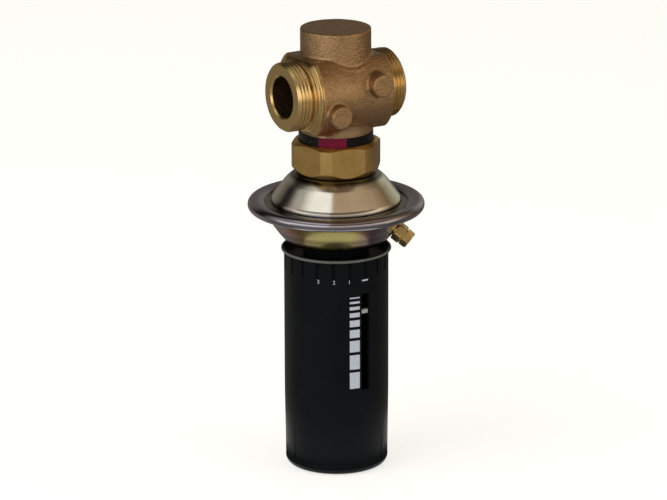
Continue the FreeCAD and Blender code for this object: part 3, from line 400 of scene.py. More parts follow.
def steel_passivated_bowl(look):
    """The same plated steel on the lower casing, where the bath was slow to dry."""
    # The film's thickness changes round the bowl, so its interference colours run from pink through
    # yellow green to violet and a bluish grey, three times round. Painted shade by height lies over them:
    # dark over the lower bowl for the black handle's reflection, lighter at its very foot, and near black in
    # a line just under the rim, a painted shadow between rim and bowl. The rim itself is one even colour.
    made, tree, mm = begin("steel_passivated_bowl")
    _, around = round_axis(tree, mm)
    drift = add(tree, "TexNoise", {"Vector": mm, "Scale": 1 / 16.0, "Detail": 2.0})
    wander = add(tree, "MapRange", {"Value": drift, "To Min": -0.08, "To Max": 0.08})
    count = add(tree, "Math", {0: around, 1: 3.0, 2: wander}, operation="MULTIPLY_ADD")
    film = add(tree, "Math", {0: count}, operation="FRACT")
    tint = hues(tree, film, (
        (0.00, "#8A9298"), (0.10, "#A88284"), (0.22, "#A58A5C"), (0.38, "#A0965F"), (0.60, "#A59A62"),
        (0.70, "#957C66"), (0.82, "#877686"), (1.00, "#8A9298")))
    height = add(tree, "SeparateXYZ", {"Vector": mm})
    on_rim = add(tree, "MapRange", {"Value": height.outputs["Z"], "From Min": 158.4, "From Max": 159.4})
    both = add(tree, "Mix", {0: on_rim, 6: tint, 7: solid(look.rim_colour)}, data_type="RGBA")
    # Painted shade by height, with a painted shadow line just under the rim.
    level = add(tree, "MapRange", {"Value": height.outputs["Z"], "From Min": 144.0, "From Max": 164.0})
    painted_shade_curve = curve(tree, level, (
        (0.0, 0.6), (0.06, 0.3), (0.22, 0.2), (0.34, 0.45), (0.64, 0.45), (0.68, 0.2), (0.70, 0.03),
        (0.77, 0.03), (0.81, 0.5)))
    painted_shade = add(tree, "Math", {0: painted_shade_curve, 1: 2.0}, operation="MULTIPLY")
    coat = add(tree, "VectorMath", {0: both.outputs[2], "Scale": painted_shade}, operation="SCALE")
    lines = turning_marks(tree, mm, 1.1)
    bump = add(tree, "Bump", {"Strength": 0.06, "Distance": 0.1 * MM, "Height": lines})
    gloss = add(tree, "MapRange", {"Value": on_rim, "To Min": 0.15, "To Max": 0.13})
    rough = add(tree, "Math", {0: lines, 1: 0.06, 2: gloss}, operation="MULTIPLY_ADD")
    return surface(made, {"Base Color": coat, "Roughness": rough, "Normal": bump, **METAL})


def steel_zinc_plated(look):
    """Steel, turned or stamped, with plain zinc plating."""
    # Zinc crystals give a bluish grey that is lightly flecked.
    made, tree, mm = begin("steel_zinc_plated")
    flecks = add(tree, "TexVoronoi", {"Vector": mm, "Scale": 1 / 1.6}).outputs["Distance"]
    tint = shades(tree, flecks, look.zinc_colour, (0.0, 1.0), (0.8, 0.78))
    return grained(made, flecks, tint, relief=(0.1, 0.08), rough=(0.28, 0.42), shader=METAL)


def steel_stainless_turned(look):
    """Stainless steel, turned and polished where it slides."""
    # Pale, clean steel with fine rings round the stem.
    made, tree, mm = begin("steel_stainless_turned")
    rings = turning_marks(tree, mm, 0.8)
    tint = shades(tree, rings, look.steel_colour, (0.3, 0.86), (0.7, 1.0))
    return grained(made, rings, tint, relief=(0.15, 0.08), rough=(0.2, 0.32), shader=METAL)


def steel_spring_wire(look):
    """Drawn spring wire, phosphated and oiled."""
    # A dark grey, slightly mottled coat with an oily sheen.
    return mottled(
        "steel_spring_wire", look.wire_colour, lumps=(2.0, 4.0, 0.5), low=(0.3, 0.7), high=(0.7, 1.0),
        relief=(0.15, 0.1), rough=(0.3, 0.5), shader=METAL)


def rubber_moulded(look):
    """Moulded rubber of the seals and the diaphragm."""
    # Dull black with a powdery bloom.
    return mottled(
        "rubber_moulded", look.rubber_colour, lumps=(3.0, 4.0, 0.5), low=(0.35, 1.0), high=(0.75, 1.8),
        relief=(0.2, 0.1), rough=(0.6, 0.8), shader={"IOR": 1.52})


def polyamide_moulded(look):
    """Black polyamide with glass fibre, moulded in an eroded tool."""
    # A satin skin: the eroded tool leaves a fine grain that softens the reflections of the softboxes, and
    # the lip's outer edge is a paler grey, a painted highlight where it catches the light.
    made, tree, mm = begin("polyamide_moulded")
    # The grain is about 0.1 mm. It is drawn at 0.7 mm, so that it shows.
    grain = add(tree, "TexNoise", {"Vector": mm, "Scale": 1 / 0.7, "Detail": 2.0})
    flow = add(tree, "TexNoise", {"Vector": mm, "Scale": 1 / 22.0, "Detail": 3.0})
    tint = shades(tree, flow, look.plastic_colour, (0.3, 0.85), (0.7, 1.1))
    # Painted highlight: the lip's outer edge is a paler grey.
    lip_highlight = add(tree, "MapRange", {
        "Value": off_axis(tree, mm), "From Min": HANDLE_RADIUS + 1.2, "From Max": HANDLE_RADIUS + 1.6})
    skin = add(tree, "Mix", {0: lip_highlight, 6: tint, 7: solid(look.worn_colour)}, data_type="RGBA")
    bump = add(tree, "Bump", {"Strength": 0.08, "Distance": 0.1 * MM, "Height": grain})
    rough = add(tree, "MapRange", {"Value": flow, "To Min": 0.34, "To Max": 0.44})
    return surface(made, {
        "Base Color": skin.outputs[2], "Roughness": rough, "IOR": 1.53, "Specular IOR Level": 0.08,
        "Normal": bump})


def acetal_moulded(look):
    """Light grey acetal of the pointer."""
    # A waxy, even grey with a faint moulded grain.
    return mottled(
        "acetal_moulded", look.pointer_colour, lumps=(0.8, 2.0, 0.5), low=(0.3, 0.9), high=(0.7, 1.0),
        relief=(0.08, 0.1), rough=(0.34, 0.46), shader={"IOR": 1.48})


def ink_pad_printed(look):
    """White two-part ink, pad printed on the handle."""
    # A thin, slightly uneven film of matt white with a bluish cast.
    return mottled(
        "ink_pad_printed", look.ink_colour, lumps=(1.5, 4.0, 0.6), low=(0.25, 0.84), high=(0.6, 1.0),
        relief=(0.08, 0.05), rough=(0.45, 0.6), shader={"IOR": 1.5})


def finish_of(slot):
    """The finish of one of the record's slots, made the first time it is asked for."""
    scene = bpy.context.scene
    makers = {
        "brass": (brass_machined, scene.valve_casing),
        "stainless_steel": (steel_stainless_turned, scene.valve_casing),
        "passivated_steel": (steel_passivated_dome, scene.valve_casing),
        "zinc_steel": (steel_zinc_plated, scene.valve_casing),
        "spring_steel": (steel_spring_wire, scene.valve_casing),
        "rubber": (rubber_moulded, scene.valve_handle),
        "black_plastic": (polyamide_moulded, scene.valve_handle),
        "grey_plastic": (acetal_moulded, scene.valve_handle),
    }
    maker, look = makers[slot]
    known = bpy.data.materials.get(maker.__name__)
    return known or maker(look)


def dress(names, finish):
    """Give solids that are shown as they are a finish."""
    for name in names:
        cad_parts[name].data.materials[0] = finish


def dress_slots(*slots):
    """Give every solid that is still in one of the record's slots the finish of that slot."""
    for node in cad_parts.values():
        slot = node.data.materials[0].name
        if slot in slots:
            node.data.materials[0] = finish_of(slot)


def placed(name, data):
    """Put a mesh, a text, a light or a camera into the scene."""
    made = bpy.data.objects.new(name, data)
    bpy.context.scene.collection.objects.link(made)
    return made


def piece(name, mesh, finishes):
    """Put a new mesh into the scene with its finishes."""
    made = placed(name, mesh)
    for finish in finishes:
        mesh.materials.append(finish)
    return made


def clamped(value):
    """A value kept between 0 and 1."""
    return min(1, max(0, value))


def on_drum(radius, angle, height):
    """A point on a cylinder round the upright axis: millimetres and degrees in, metres out."""
    turn = math.radians(angle)
    return Vector((radius * math.cos(turn), radius * math.sin(turn), height)) * MM


def plain_mesh(name, shape):
    """Turn a bmesh into a mesh."""
    mesh = bpy.data.meshes.new(name)
    shape.to_mesh(mesh)
    shape.free()
    return mesh


def mesh_of(name, shape, crease=35.0):
    """Turn a bmesh into a smooth mesh that keeps the edges sharper than an angle."""
    bmesh.ops.recalc_face_normals(shape, faces=shape.faces)
    mesh = plain_mesh(name, shape)
    mesh.shade_smooth()
    mesh.set_sharp_from_angle(angle=math.radians(crease))
    return mesh


def ring_of_sections(shape, sections, closed=True):
    """Join sections, each a closed loop of points, into one skin."""
    loops = [[shape.verts.new(point) for point in section] for section in sections]
    count = len(loops)
    for number in range(count if closed else count - 1):
        here = loops[number]
        there = loops[(number + 1) % count]
        for place in range(len(here)):
            after = (place + 1) % len(here)
            shape.faces.new((here[place], there[place], there[after], here[after]))
    if not closed:
        shape.faces.new(loops[0])
        shape.faces.new(loops[-1])


def printed_plate(shape, low, high, left, right, radius, half, step=1.5):
    """A thin plate that stands half in and half out of a cylinder, between degrees from the camera's side."""
    steps = max(2, math.ceil((right - left) / step))
    inner = radius - half
    outer = radius + half
    corners = ((inner, low), (outer, low), (outer, high), (inner, high))
    sections = []
    for number in range(steps + 1):
        angle = FRONT + left + (right - left) * number / steps
        sections.append([on_drum(reach, angle, height) for reach, height in corners])
    ring_of_sections(shape, sections, closed=False)


class VALVE_OT_casting(bpy.types.Operator):
    """Cast the bronze body: the solid as an even net, with a rough cast skin and a smooth turned neck"""

    bl_idname = "valve.casting"
    bl_label = "Bronze casting"

    # The ports are cut off just past the drum's ends. The cast skin begins off the turned ends and the neck.
    CUT_OFF = DRUM_HALF_LENGTH + 0.3
    TRUE_END = DRUM_HALF_LENGTH - 0.6
    TRUE_NECK = NECK_RADIUS + 0.3
    FADE = 1.5
    NECK_FADE = 0.8
    # How wide the skin's lumps are, and how much each width adds to it.
    LUMPS = ((7.0, 0.35), (2.2, 0.25))
    # The flash lies near the drum and the boss. It is a ragged bead, with a hollow beyond it, off the boss.
    OFF_DRUM = (-0.5, 1.5)
    OFF_BOSS = (-0.5, 4.0)
    BEAD = 1.2
    HOLLOW = 2.6
    BEAD_WIDTH = 0.7
    RAG_WIDTH = 1.3
    RAG_MEAN = 0.6
    HIGH_BEAD = 0.9
    LOW_BEAD = 0.5
    HOLLOW_DEPTH = 0.8
    # Degrees round the boss from its front: where the flash begins, where it gets lower and where it ends.
    FLASH_LEFT = -80
    FLASH_STEP = -48
    FLASH_RIGHT = 20
    # The core shaped what lies inside these, and the neck was turned out to its own radius.
    CORED_BORE = PORT_BORE + 1.0
    CORED_NECK = NECK_RADIUS - 3.0
    CORE_TOP = PIPE_HEIGHT + 30
    TURNED_NECK = NECK_RADIUS + 0.4

    def execute(self, context):
        look = context.scene.valve_body
        mesh = self.even_net(context, look.net)
        if not mesh.polygons:
            raise RuntimeError("the casting's net has no faces")
        self.roughen(mesh, look.cast_relief)
        self.mark_turned(mesh)
        mesh.shade_smooth()
        finishes = [bronze_sand_cast(look), bronze_turned_neck(look), bronze_cored(look)]
        casting = piece("valve_casting", mesh, finishes)
        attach(casting, "valve")
        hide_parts("valve_body")
        return {"FINISHED"}

    def even_net(self, context, net):
        """The solid's mesh, cut off at the shoulders of the ports, as a net of small even faces."""
        source = placed("casting_source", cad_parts["valve_body"].data.copy())
        source.data.materials.clear()
        remesh = source.modifiers.new("even_net", "REMESH")
        remesh.mode = "VOXEL"
        remesh.voxel_size = net
        context.view_layer.update()
        mesh = bpy.data.meshes.new_from_object(source.evaluated_get(context.evaluated_depsgraph_get()))
        mesh.name = "valve_casting"
        bpy.data.objects.remove(source)
        shape = bmesh.new()
        shape.from_mesh(mesh)
        beyond = [vert for vert in shape.verts if abs(vert.co.x) > self.CUT_OFF * MM]
        bmesh.ops.delete(shape, geom=beyond, context="VERTS")
        shape.to_mesh(mesh)
        shape.free()
        return mesh

    def roughen(self, mesh, relief):
        """Let the cast skin fall back unevenly between its high spots; the turned faces stay true."""
        outward = [entry.vector.copy() for entry in mesh.vertex_normals]
        for vert, normal in zip(mesh.vertices, outward):
            point = vert.co / MM
            end = clamped((self.TRUE_END - abs(point.x)) / self.FADE)
            neck = clamped((math.hypot(point.x, point.y) - self.TRUE_NECK) / self.NECK_FADE)
            upper = clamped((point.z - NECK_REACH) / self.FADE)
            lumps = sum(share * noise.noise(point / width) for width, share in self.LUMPS)
            vert.co -= normal * relief * clamped(0.5 + lumps) * end * max(neck, upper)
            vert.co += normal * self.flash(point) * MM

    def flash(self, point):
        """Height of the ragged flash that the mould left along the boss's front foot."""
        off_boss = math.hypot(point.x, point.y) - BOSS_RADIUS
        above = point.z - PIPE_HEIGHT
        off_drum = max(math.hypot(point.y, above) - DRUM_RADIUS, above - DRUM_TOP)
        by_drum = self.OFF_DRUM[0] < off_drum < self.OFF_DRUM[1]
        by_boss = self.OFF_BOSS[0] < off_boss < self.OFF_BOSS[1]
        if not by_drum or not by_boss:
            return 0.0
        turn = math.degrees(math.atan2(point.x, -point.y))
        ragged = self.RAG_MEAN + noise.noise(point / self.RAG_WIDTH)
        bead = math.exp(-((off_boss - self.BEAD) / self.BEAD_WIDTH) ** 2) * ragged
        if self.FLASH_LEFT < turn < self.FLASH_STEP:
            hollow = math.exp(-((off_boss - self.HOLLOW) / self.BEAD_WIDTH) ** 2)
            return self.HIGH_BEAD * bead - self.HOLLOW_DEPTH * hollow
        if self.FLASH_STEP <= turn < self.FLASH_RIGHT:
            return self.LOW_BEAD * bead
        return 0.0

    def mark_turned(self, mesh):
        """The neck under the drum was turned and the inside was cored: their faces take those finishes."""
        for face in mesh.polygons:
            centre = face.center / MM
            reach = math.hypot(centre.x, centre.y)
            upright = abs(face.normal.z) < 0.5
            in_bore = math.hypot(centre.y, centre.z - PIPE_HEIGHT) < self.CORED_BORE
            in_neck = reach < self.CORED_NECK and centre.z < self.CORE_TOP
            if in_bore or in_neck:
                face.material_index = 2
            elif centre.z < NECK_REACH and reach < self.TURNED_NECK and upright:
                face.material_index = 1


class VALVE_OT_ports(bpy.types.Operator):
    """Turn the two ports: bore, end face, pipe thread, cone and shoulder"""

    bl_idname = "valve.ports"
    bl_label = "Threaded ports"

    STEPS = 144
    THREAD_STEP = 0.11
    SHOULDER = DRUM_HALF_LENGTH + 0.06
    CONE_START = 28.0
    CONE_RADIUS = 26.8
    EDGE_ROUND = 0.5
    CREASE = 40.0
    BORE_CHAMFER = 1.0
    BORE_SLACK = 0.1
    END_CHAMFER = 1.7
    CHAMFER_SLOPE = 1.05
    # What the casting hides: where the bore begins, the wall round it, and how deep the shoulder goes in.
    BORE_START = 20.0
    BORE_WALL = 2.0
    SEAM = DRUM_HALF_LENGTH - 1.0

    def execute(self, context):
        look = context.scene.valve_body
        finishes = [bronze_turned(look), bpy.data.materials["bronze_cored"]]
        for name, side in (("left_port", -1), ("right_port", 1)):
            shape = bmesh.new()
            sections = []
            for number in range(self.STEPS):
                turn = math.tau * number / self.STEPS
                across = math.cos(turn)
                up = math.sin(turn)
                sections.append([
                    Vector((side * along, radius * across, PIPE_HEIGHT + radius * up)) * MM
                    for along, radius in self.outline(look, number / self.STEPS)])
            ring_of_sections(shape, sections)
            port = piece(name, mesh_of(name, shape, self.CREASE), finishes)
            self.mark_bore(port.data)
            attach(port, "valve")
        return {"FINISHED"}

    def mark_bore(self, mesh):
        """The bore was left as cast: its faces take the second finish."""
        for face in mesh.polygons:
            centre = face.center / MM
            if math.hypot(centre.y, centre.z - PIPE_HEIGHT) < PORT_BORE + self.BORE_SLACK:
                face.material_index = 1

    def shoulder(self, turn):
        """Reach of the turned shoulder at one share of a turn: the drum's end, inside its rounded edge."""
        rise = math.sin(math.tau * turn)
        level = (DRUM_TOP if rise > 0 else DRUM_BOTTOM) - self.EDGE_ROUND
        return min(DRUM_RADIUS - self.EDGE_ROUND, level / max(abs(rise), 0.01))

    def outline(self, look, turn):
        """The port's section at one share of a turn: the bore, the thread over its cone, and the shoulder."""
        chamfer = self.BORE_CHAMFER
        bore = PORT_BORE
        points = [(self.BORE_START, bore), (PORT_END - chamfer, bore), (PORT_END, bore + chamfer)]
        length = PORT_END - self.SHOULDER
        count = round(length / self.THREAD_STEP)
        for number in range(count + 1):
            along = PORT_END - length * number / count
            points.append((along, self.thread_radius(look, along, turn)))
        shoulder = self.shoulder(turn)
        hidden = bore + self.BORE_WALL
        points += [(self.SHOULDER, shoulder), (self.SEAM, shoulder)]
        points += [(self.SEAM, hidden), (self.BORE_START, hidden)]
        return points

    def thread_radius(self, look, along, turn):
        """Radius of the pipe thread: round crests and roots, an end chamfer, and a run-out over the cone."""
        crest = look.thread_crest / MM
        depth = look.thread_depth / MM
        on_cone = max(0, self.CONE_START - along)
        climb = on_cone / (self.CONE_START - self.SHOULDER)
        foot = min(self.CONE_RADIUS, self.shoulder(turn))
        body = crest + (foot - crest) * climb
        slope = math.hypot(on_cone, (self.CONE_RADIUS - crest) * climb)
        place = ((along + on_cone - slope) / (look.thread_pitch / MM) + turn) % 1
        flank = abs(2 * place - 1)
        rounded = flank * flank * (3 - 2 * flank)
        radius = body - depth * (1 - 0.5 * climb) * (1 - rounded)
        chamfer = crest - self.END_CHAMFER + self.CHAMFER_SLOPE * (PORT_END - along)
        return min(radius, chamfer)


class VALVE_OT_band(bpy.types.Operator):
    """Wrap the neck's band: black film with one plain coloured field"""

    bl_idname = "valve.band"
    bl_label = "Neck band"

    FIELD_LEFT = -27.5
    FIELD_RIGHT = 16.5
    PRINT = 0.05

    def execute(self, context):
        look = context.scene.valve_body
        dress(["identification_band"], film_printed("film_black", look.band_colour))
        shape = bmesh.new()
        low = BAND_LOW + self.PRINT
        high = BAND_HIGH - self.PRINT
        printed_plate(shape, low, high, self.FIELD_LEFT, self.FIELD_RIGHT, BAND_RADIUS, self.PRINT)
        finish = film_printed("film_crimson", look.field_colour)
        field = piece("band_field", mesh_of("band_field", shape), [finish])
        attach(field, "valve")
        return {"FINISHED"}


class VALVE_OT_metal(bpy.types.Operator):
    """Finish the casings, the union nut, the impulse fitting and the inner metal pieces"""

    bl_idname = "valve.metal"
    bl_label = "Casings, nuts and inner metal"

    def execute(self, context):
        look = context.scene.valve_casing
        dress(["lower_casing"], steel_passivated_bowl(look))
        dress(["impulse_nipple", "compression_nut"], brass_lit_copy(look))
        dress_slots("passivated_steel", "brass", "stainless_steel", "zinc_steel", "spring_steel")
        return {"FINISHED"}


class VALVE_OT_handle(bpy.types.Operator):
    """Finish the handle, its cap, the bearing disc, the pointer and the seals"""

    bl_idname = "valve.handle"
    bl_label = "Handle, pointer and seals"

    def execute(self, context):
        dress_slots("black_plastic", "grey_plastic", "rubber")
        return {"FINISHED"}


class VALVE_OT_scale(bpy.types.Operator):
    """Print the scale's bars and the small figures on the handle"""

    bl_idname = "valve.scale"
    bl_label = "Printed scale"

    # Heights of the scale's bars from the top down. The places are degrees from the camera's side.
    BARS = (0.75, 1.3, 2.0, 2.75, 4.05, 5.0, 7.1, 9.0, 10.2)
    BAR_LEFT = 14.7
    BAR_RIGHT = 26.3
    FIGURES = (("3", -20.0), ("2", -2.5), ("1", 14.3))
    DASH_LEFT = 29.2
    DASH_RIGHT = 36.8
    DASH_HEIGHT = 0.9
    PRINT = 0.04
    # A figure's height as a share of its font's size.
    FIGURE_SHARE = 0.69

    def execute(self, context):
        look = context.scene.valve_handle
        finish = ink_pad_printed(look)
        shape = bmesh.new()
        top = look.bar_top / MM
        for height in self.BARS:
            printed_plate(shape, top - height, top, self.BAR_LEFT, self.BAR_RIGHT, HANDLE_RADIUS, self.PRINT)
            top -= height + look.bar_gap / MM
        low = look.figure_level / MM - self.DASH_HEIGHT / 2
        high = low + self.DASH_HEIGHT
        printed_plate(shape, low, high, self.DASH_LEFT, self.DASH_RIGHT, HANDLE_RADIUS, self.PRINT)
        bars = piece("scale_bars", mesh_of("scale_bars", shape), [finish])
        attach(bars, "handle")
        figures = piece("scale_figures", self.figures(context, look), [finish])
        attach(figures, "handle")
        return {"FINISHED"}

    def figures(self, context, look):
        """The small figures as one mesh, bent round the handle."""
        shape = bmesh.new()
        for text, place in self.FIGURES:
            letters = bpy.data.curves.new("figure", "FONT")
            letters.body = text
            letters.align_x = "CENTER"
            letters.size = look.figure_height / self.FIGURE_SHARE
            letters.extrude = self.PRINT * MM
            letters.resolution_u = 3
            shown = placed("figure", letters)
            context.view_layer.update()
            flat = bpy.data.meshes.new_from_object(shown.evaluated_get(context.evaluated_depsgraph_get()))
            for vert in flat.vertices:
                angle = FRONT + place + math.degrees(vert.co.x / (HANDLE_RADIUS * MM))
                height = (look.figure_level - look.figure_height / 2 + vert.co.y) / MM
                vert.co = on_drum(HANDLE_RADIUS + vert.co.z / MM, angle, height)
            shape.from_mesh(flat)
            bpy.data.objects.remove(shown)
            bpy.data.curves.remove(letters)
        bmesh.ops.remove_doubles(shape, verts=shape.verts, dist=0.001 * MM)
        return mesh_of("scale_figures", shape)


class VALVE_OT_spring(bpy.types.Operator):
    """Wind the setting spring and hang the diaphragm"""

    bl_idname = "valve.spring"
    bl_label = "Spring and diaphragm"

    TURNS = 5
    FOOT_TURNS = 1
    STEPS = 40
    SIDES = 14
    WIRE_RADIUS = 2.0
    COIL_RADIUS = 17.5

    def execute(self, context):
        last = self.TURNS * self.STEPS
        split = self.FOOT_TURNS * self.STEPS
        spring = self.coil("coiled_spring", split, last)
        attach(spring, "valve")
        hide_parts("setting_spring")
        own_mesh(spring)
        foot = self.coil("spring_foot", 0, split)
        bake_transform(foot)
        self.hang_diaphragm()
        return {"FINISHED"}

    def level(self, number):
        """Height of the wire's middle after a number of steps from the bottom."""
        low = SPRING_LOW + self.WIRE_RADIUS
        rise = SPRING_HIGH - SPRING_LOW - 2 * self.WIRE_RADIUS
        return low + rise * number / (self.TURNS * self.STEPS)

    def coil(self, name, first, last):
        """One length of the wound wire, from one step to another."""
        sections = []
        for number in range(first, last + 1):
            angle = 360 * number / self.STEPS
            height = self.level(number)
            section = []
            for side in range(self.SIDES):
                turn = math.tau * side / self.SIDES
                radius = self.COIL_RADIUS + self.WIRE_RADIUS * math.cos(turn)
                section.append(on_drum(radius, angle, height + self.WIRE_RADIUS * math.sin(turn)))
            sections.append(section)
        shape = bmesh.new()
        ring_of_sections(shape, sections, closed=False)
        return piece(name, mesh_of(name, shape), [finish_of("spring_steel")])

    def hang_diaphragm(self):
        """A copy of the rubber diaphragm with its finish, in place of the solid."""
        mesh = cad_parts["diaphragm"].data.copy()
        mesh.materials.clear()
        sheet = piece("rolling_diaphragm", mesh, [finish_of("rubber")])
        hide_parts("diaphragm")
        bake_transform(sheet)


class VALVE_OT_stage(bpy.types.Operator):
    """Set the studio: paper floor, grey flags, softboxes and the camera"""

    bl_idname = "valve.stage"
    bl_label = "Studio"

    # The hung cloth, by degrees to the right of the camera: its colour high up and low down.
    PANELS = (
        (-180, "#706B63", "#706B63"), (-150, "#2A2420", "#7C776E"), (-132, "#242019", "#5A554D"),
        (-122, "#2A2622", "#14110F"), (-108, "#5A564F", "#1C1917"), (-98, "#A29F98", "#8C8880"),
        (-85, "#B4B1A8", "#B4B1A8"), (-68, "#EDEBE2", "#EDEBE2"), (-58, "#FFFFF8", "#FFFFF8"),
        (-12, "#FFFFF8", "#FFFFF8"), (-10, "#AD9980", "#CFC3B2"), (40, "#AE9A80", "#D6CAB8"),
        (62, "#AF9A7F", "#EBDFC9"), (85, "#B09A7E", "#DDCDB5"), (105, "#8A775F", "#9C866C"),
        (118, "#74624A", "#6E5C46"), (135, "#625540", "#9A957F"), (150, "#625846", "#B4B2A4"),
        (180, "#706B63", "#706B63"))
    CEILING = "#61523F"
    PAPER = "#FAF9F4"
    # How bright it is in front, by the sine of the elevation: a low window, a dark gap and a high softbox.
    LEVELS = ((0.0, 1.0), (0.38, 1.0), (0.47, 0.15), (0.66, 0.15), (0.71, 0.7), (1.0, 0.7))
    SIDE_LEVEL = 0.7
    CLOTH_LIGHT = 1.5
    # The laid cloth, told the same way: its colour far from the valve and near it.
    TABLE = (
        (-180, "#7A736A", "#615B54"), (-140, "#8A857C", "#969188"), (-118, "#948F86", "#A29C92"),
        (-90, "#8C8780", "#6F6B65"), (-50, "#B2ADA4", "#8D8982"), (-15, "#B2ADA4", "#8D8982"),
        (5, "#A8A39A", "#85817A"), (60, "#A09B92", "#7F7B74"), (85, "#7C766E", "#625D57"),
        (118, "#706A62", "#7E786F"), (150, "#645E56", "#7A746B"), (180, "#7A736A", "#615B54"))
    # How bright it is, by metres from the valve: shaded at the valve's foot, and dimmer far out.
    TABLE_LEVELS = ((0.06, 0.2), (0.07, 1.0), (0.78, 1.0), (0.88, 0.8))
    # The cloth makes a drum just over the paper. Its floor is open in a ring round the valve's foot.
    DRUM = 3.4
    DRUM_LIFT = 0.004
    OPEN_OUTER = 0.09
    OPEN_INNER = 0.043
    PAPER_GLOW = 0.77
    # The softboxes: degrees to the right of the camera, degrees up, metres away, and metres wide and high.
    KEY = (-55, 50, 1.7, 1.25, 1.0)
    FILL = (62, 40, 1.9, 1.1, 1.2)

    def execute(self, context):
        look = context.scene.valve_studio
        self.lay_floor(look)
        self.hang_flags()
        self.light_room(context, look)
        self.softbox("key_softbox", look.key_power, *self.KEY)
        self.softbox("fill_softbox", look.fill_power, *self.FILL)
        self.place_camera(context)
        context.scene.view_settings.view_transform = "Standard"
        return {"FINISHED"}

    def direction(self, turn, elevation):
        """A direction seen from the valve: degrees to the right of the camera, and degrees up."""
        azimuth = math.radians(VIEW_AZIMUTH + turn)
        rise = math.radians(elevation)
        flat = Vector((math.sin(azimuth), -math.cos(azimuth), 0))
        return flat * math.cos(rise) + Vector((0, 0, math.sin(rise)))

    def background_share(self, tree):
        """1 where the camera sees the background, directly, in metal or through glass, and 0 elsewhere."""
        path = add(tree, "LightPath")
        shiny = add(tree, "Math", {
            0: path.outputs["Is Glossy Ray"], 1: path.outputs["Is Transmission Ray"]}, operation="MAXIMUM")
        return add(tree, "Math", {0: path.outputs["Is Camera Ray"], 1: shiny}, operation="MAXIMUM")

    def lay_floor(self, look):
        """Pale background paper, matt, with faint fibres; it glows a little so that it reads as white."""
        shape = bmesh.new()
        bmesh.ops.create_circle(shape, cap_ends=True, segments=96, radius=look.floor_radius)
        made, tree, mm = begin("paper_matt")
        fibres = add(tree, "TexNoise", {"Vector": mm, "Scale": 1 / 6.0, "Detail": 4.0})
        tint = shades(tree, fibres, look.floor_colour, (0.3, 0.5), (0.7, 0.52))
        glow = add(tree, "Math", {0: self.background_share(tree), 1: self.PAPER_GLOW}, operation="MULTIPLY")
        surface(made, {
            "Base Color": tint, "Roughness": 0.9, "Specular IOR Level": 0.1,
            "Emission Color": solid(look.floor_colour), "Emission Strength": glow})
        floor = placed("paper_floor", plain_mesh("paper_floor", shape))
        floor.data.materials.append(made)

    def hang_flags(self):
        """Cloth round, over and beside the set, seen only in reflections: metal's light and dark."""
        shape = bmesh.new()
        middle = Matrix.Translation((0, 0, self.DRUM / 2 + self.DRUM_LIFT))
        bmesh.ops.create_cone(
            shape, cap_ends=True, cap_tris=False, segments=64, radius1=self.DRUM, radius2=self.DRUM,
            depth=self.DRUM, matrix=middle)
        under = [face for face in shape.faces if face.normal.z < -0.5]
        inset = bmesh.ops.inset_individual
        laid = inset(shape, faces=under, thickness=self.DRUM - self.OPEN_OUTER)["faces"]
        opening = inset(shape, faces=under, thickness=self.OPEN_OUTER - self.OPEN_INNER)["faces"]
        for face in laid + under:
            face.material_index = 1
        bmesh.ops.delete(shape, geom=opening, context="FACES_ONLY")
        flags = placed("grey_flags", plain_mesh("grey_flags", shape))
        flags.data.materials.append(self.hung_cloth())
        flags.data.materials.append(self.laid_cloth())
        flags.visible_camera = False
        flags.visible_diffuse = False
        flags.visible_shadow = False
        flags.visible_transmission = False

    def colours_round(self, tree, around, rows, column):
        """A cloth's colours round the set, from one column of its rows."""
        return hues(tree, around, [(0.5 + row[0] / 360, row[column]) for row in rows])

    def shining(self, made, shade, light):
        """End a cloth, which shines by itself."""
        tree = made.node_tree
        cloth = add(tree, "Emission", {"Color": shade.outputs[2], "Strength": light})
        add(tree, "OutputMaterial", {"Surface": cloth})
        return made

    def hung_cloth(self):
        """White cloth at the front left, warm greys round the rest, and a dark ceiling."""
        made, tree, mm = begin("cloth_hung")
        toward = add(tree, "VectorMath", {0: mm}, operation="NORMALIZE")
        turned, around = round_axis(tree, toward)
        high = self.colours_round(tree, around, self.PANELS, 1)
        low = self.colours_round(tree, around, self.PANELS, 2)
        rise = add(tree, "SeparateXYZ", {"Vector": toward}).outputs["Z"]
        raised = add(tree, "MapRange", {"Value": rise, "From Min": 0.45, "From Max": 0.6})
        panels = add(tree, "Mix", {0: raised, 6: low, 7: high}, data_type="RGBA").outputs[2]
        overhead = add(tree, "MapRange", {"Value": rise, "From Min": 0.885, "From Max": 0.93})
        shade = add(tree, "Mix", {0: overhead, 6: panels, 7: opaque(self.CEILING)}, data_type="RGBA")
        level = curve(tree, rise, self.LEVELS)
        ahead = add(tree, "SeparateXYZ", {"Vector": turned}).outputs["X"]
        front = add(tree, "MapRange", {"Value": ahead, "From Min": 0.0, "From Max": 0.25})
        lit = add(tree, "Mix", {0: front, 6: grey(self.SIDE_LEVEL), 7: level}, data_type="RGBA").outputs[2]
        light = add(tree, "Math", {0: lit, 1: self.CLOTH_LIGHT}, operation="MULTIPLY")
        return self.shining(made, shade, light)

    def laid_cloth(self):
        """Grey cloth that covers the paper away from the valve, dark in the shade at its foot and far out."""
        made, tree, mm = begin("cloth_laid")
        reach = add(tree, "VectorMath", {0: mm}, operation="LENGTH").outputs["Value"]
        away = add(tree, "MapRange", {"Value": reach, "From Min": 300.0, "From Max": 600.0})
        _, around = round_axis(tree, mm)
        far = self.colours_round(tree, around, self.TABLE, 1)
        near = self.colours_round(tree, around, self.TABLE, 2)
        shade = add(tree, "Mix", {0: away, 6: near, 7: far}, data_type="RGBA")
        metres = add(tree, "Math", {0: reach, 1: MM}, operation="MULTIPLY")
        return self.shining(made, shade, curve(tree, metres, self.TABLE_LEVELS))

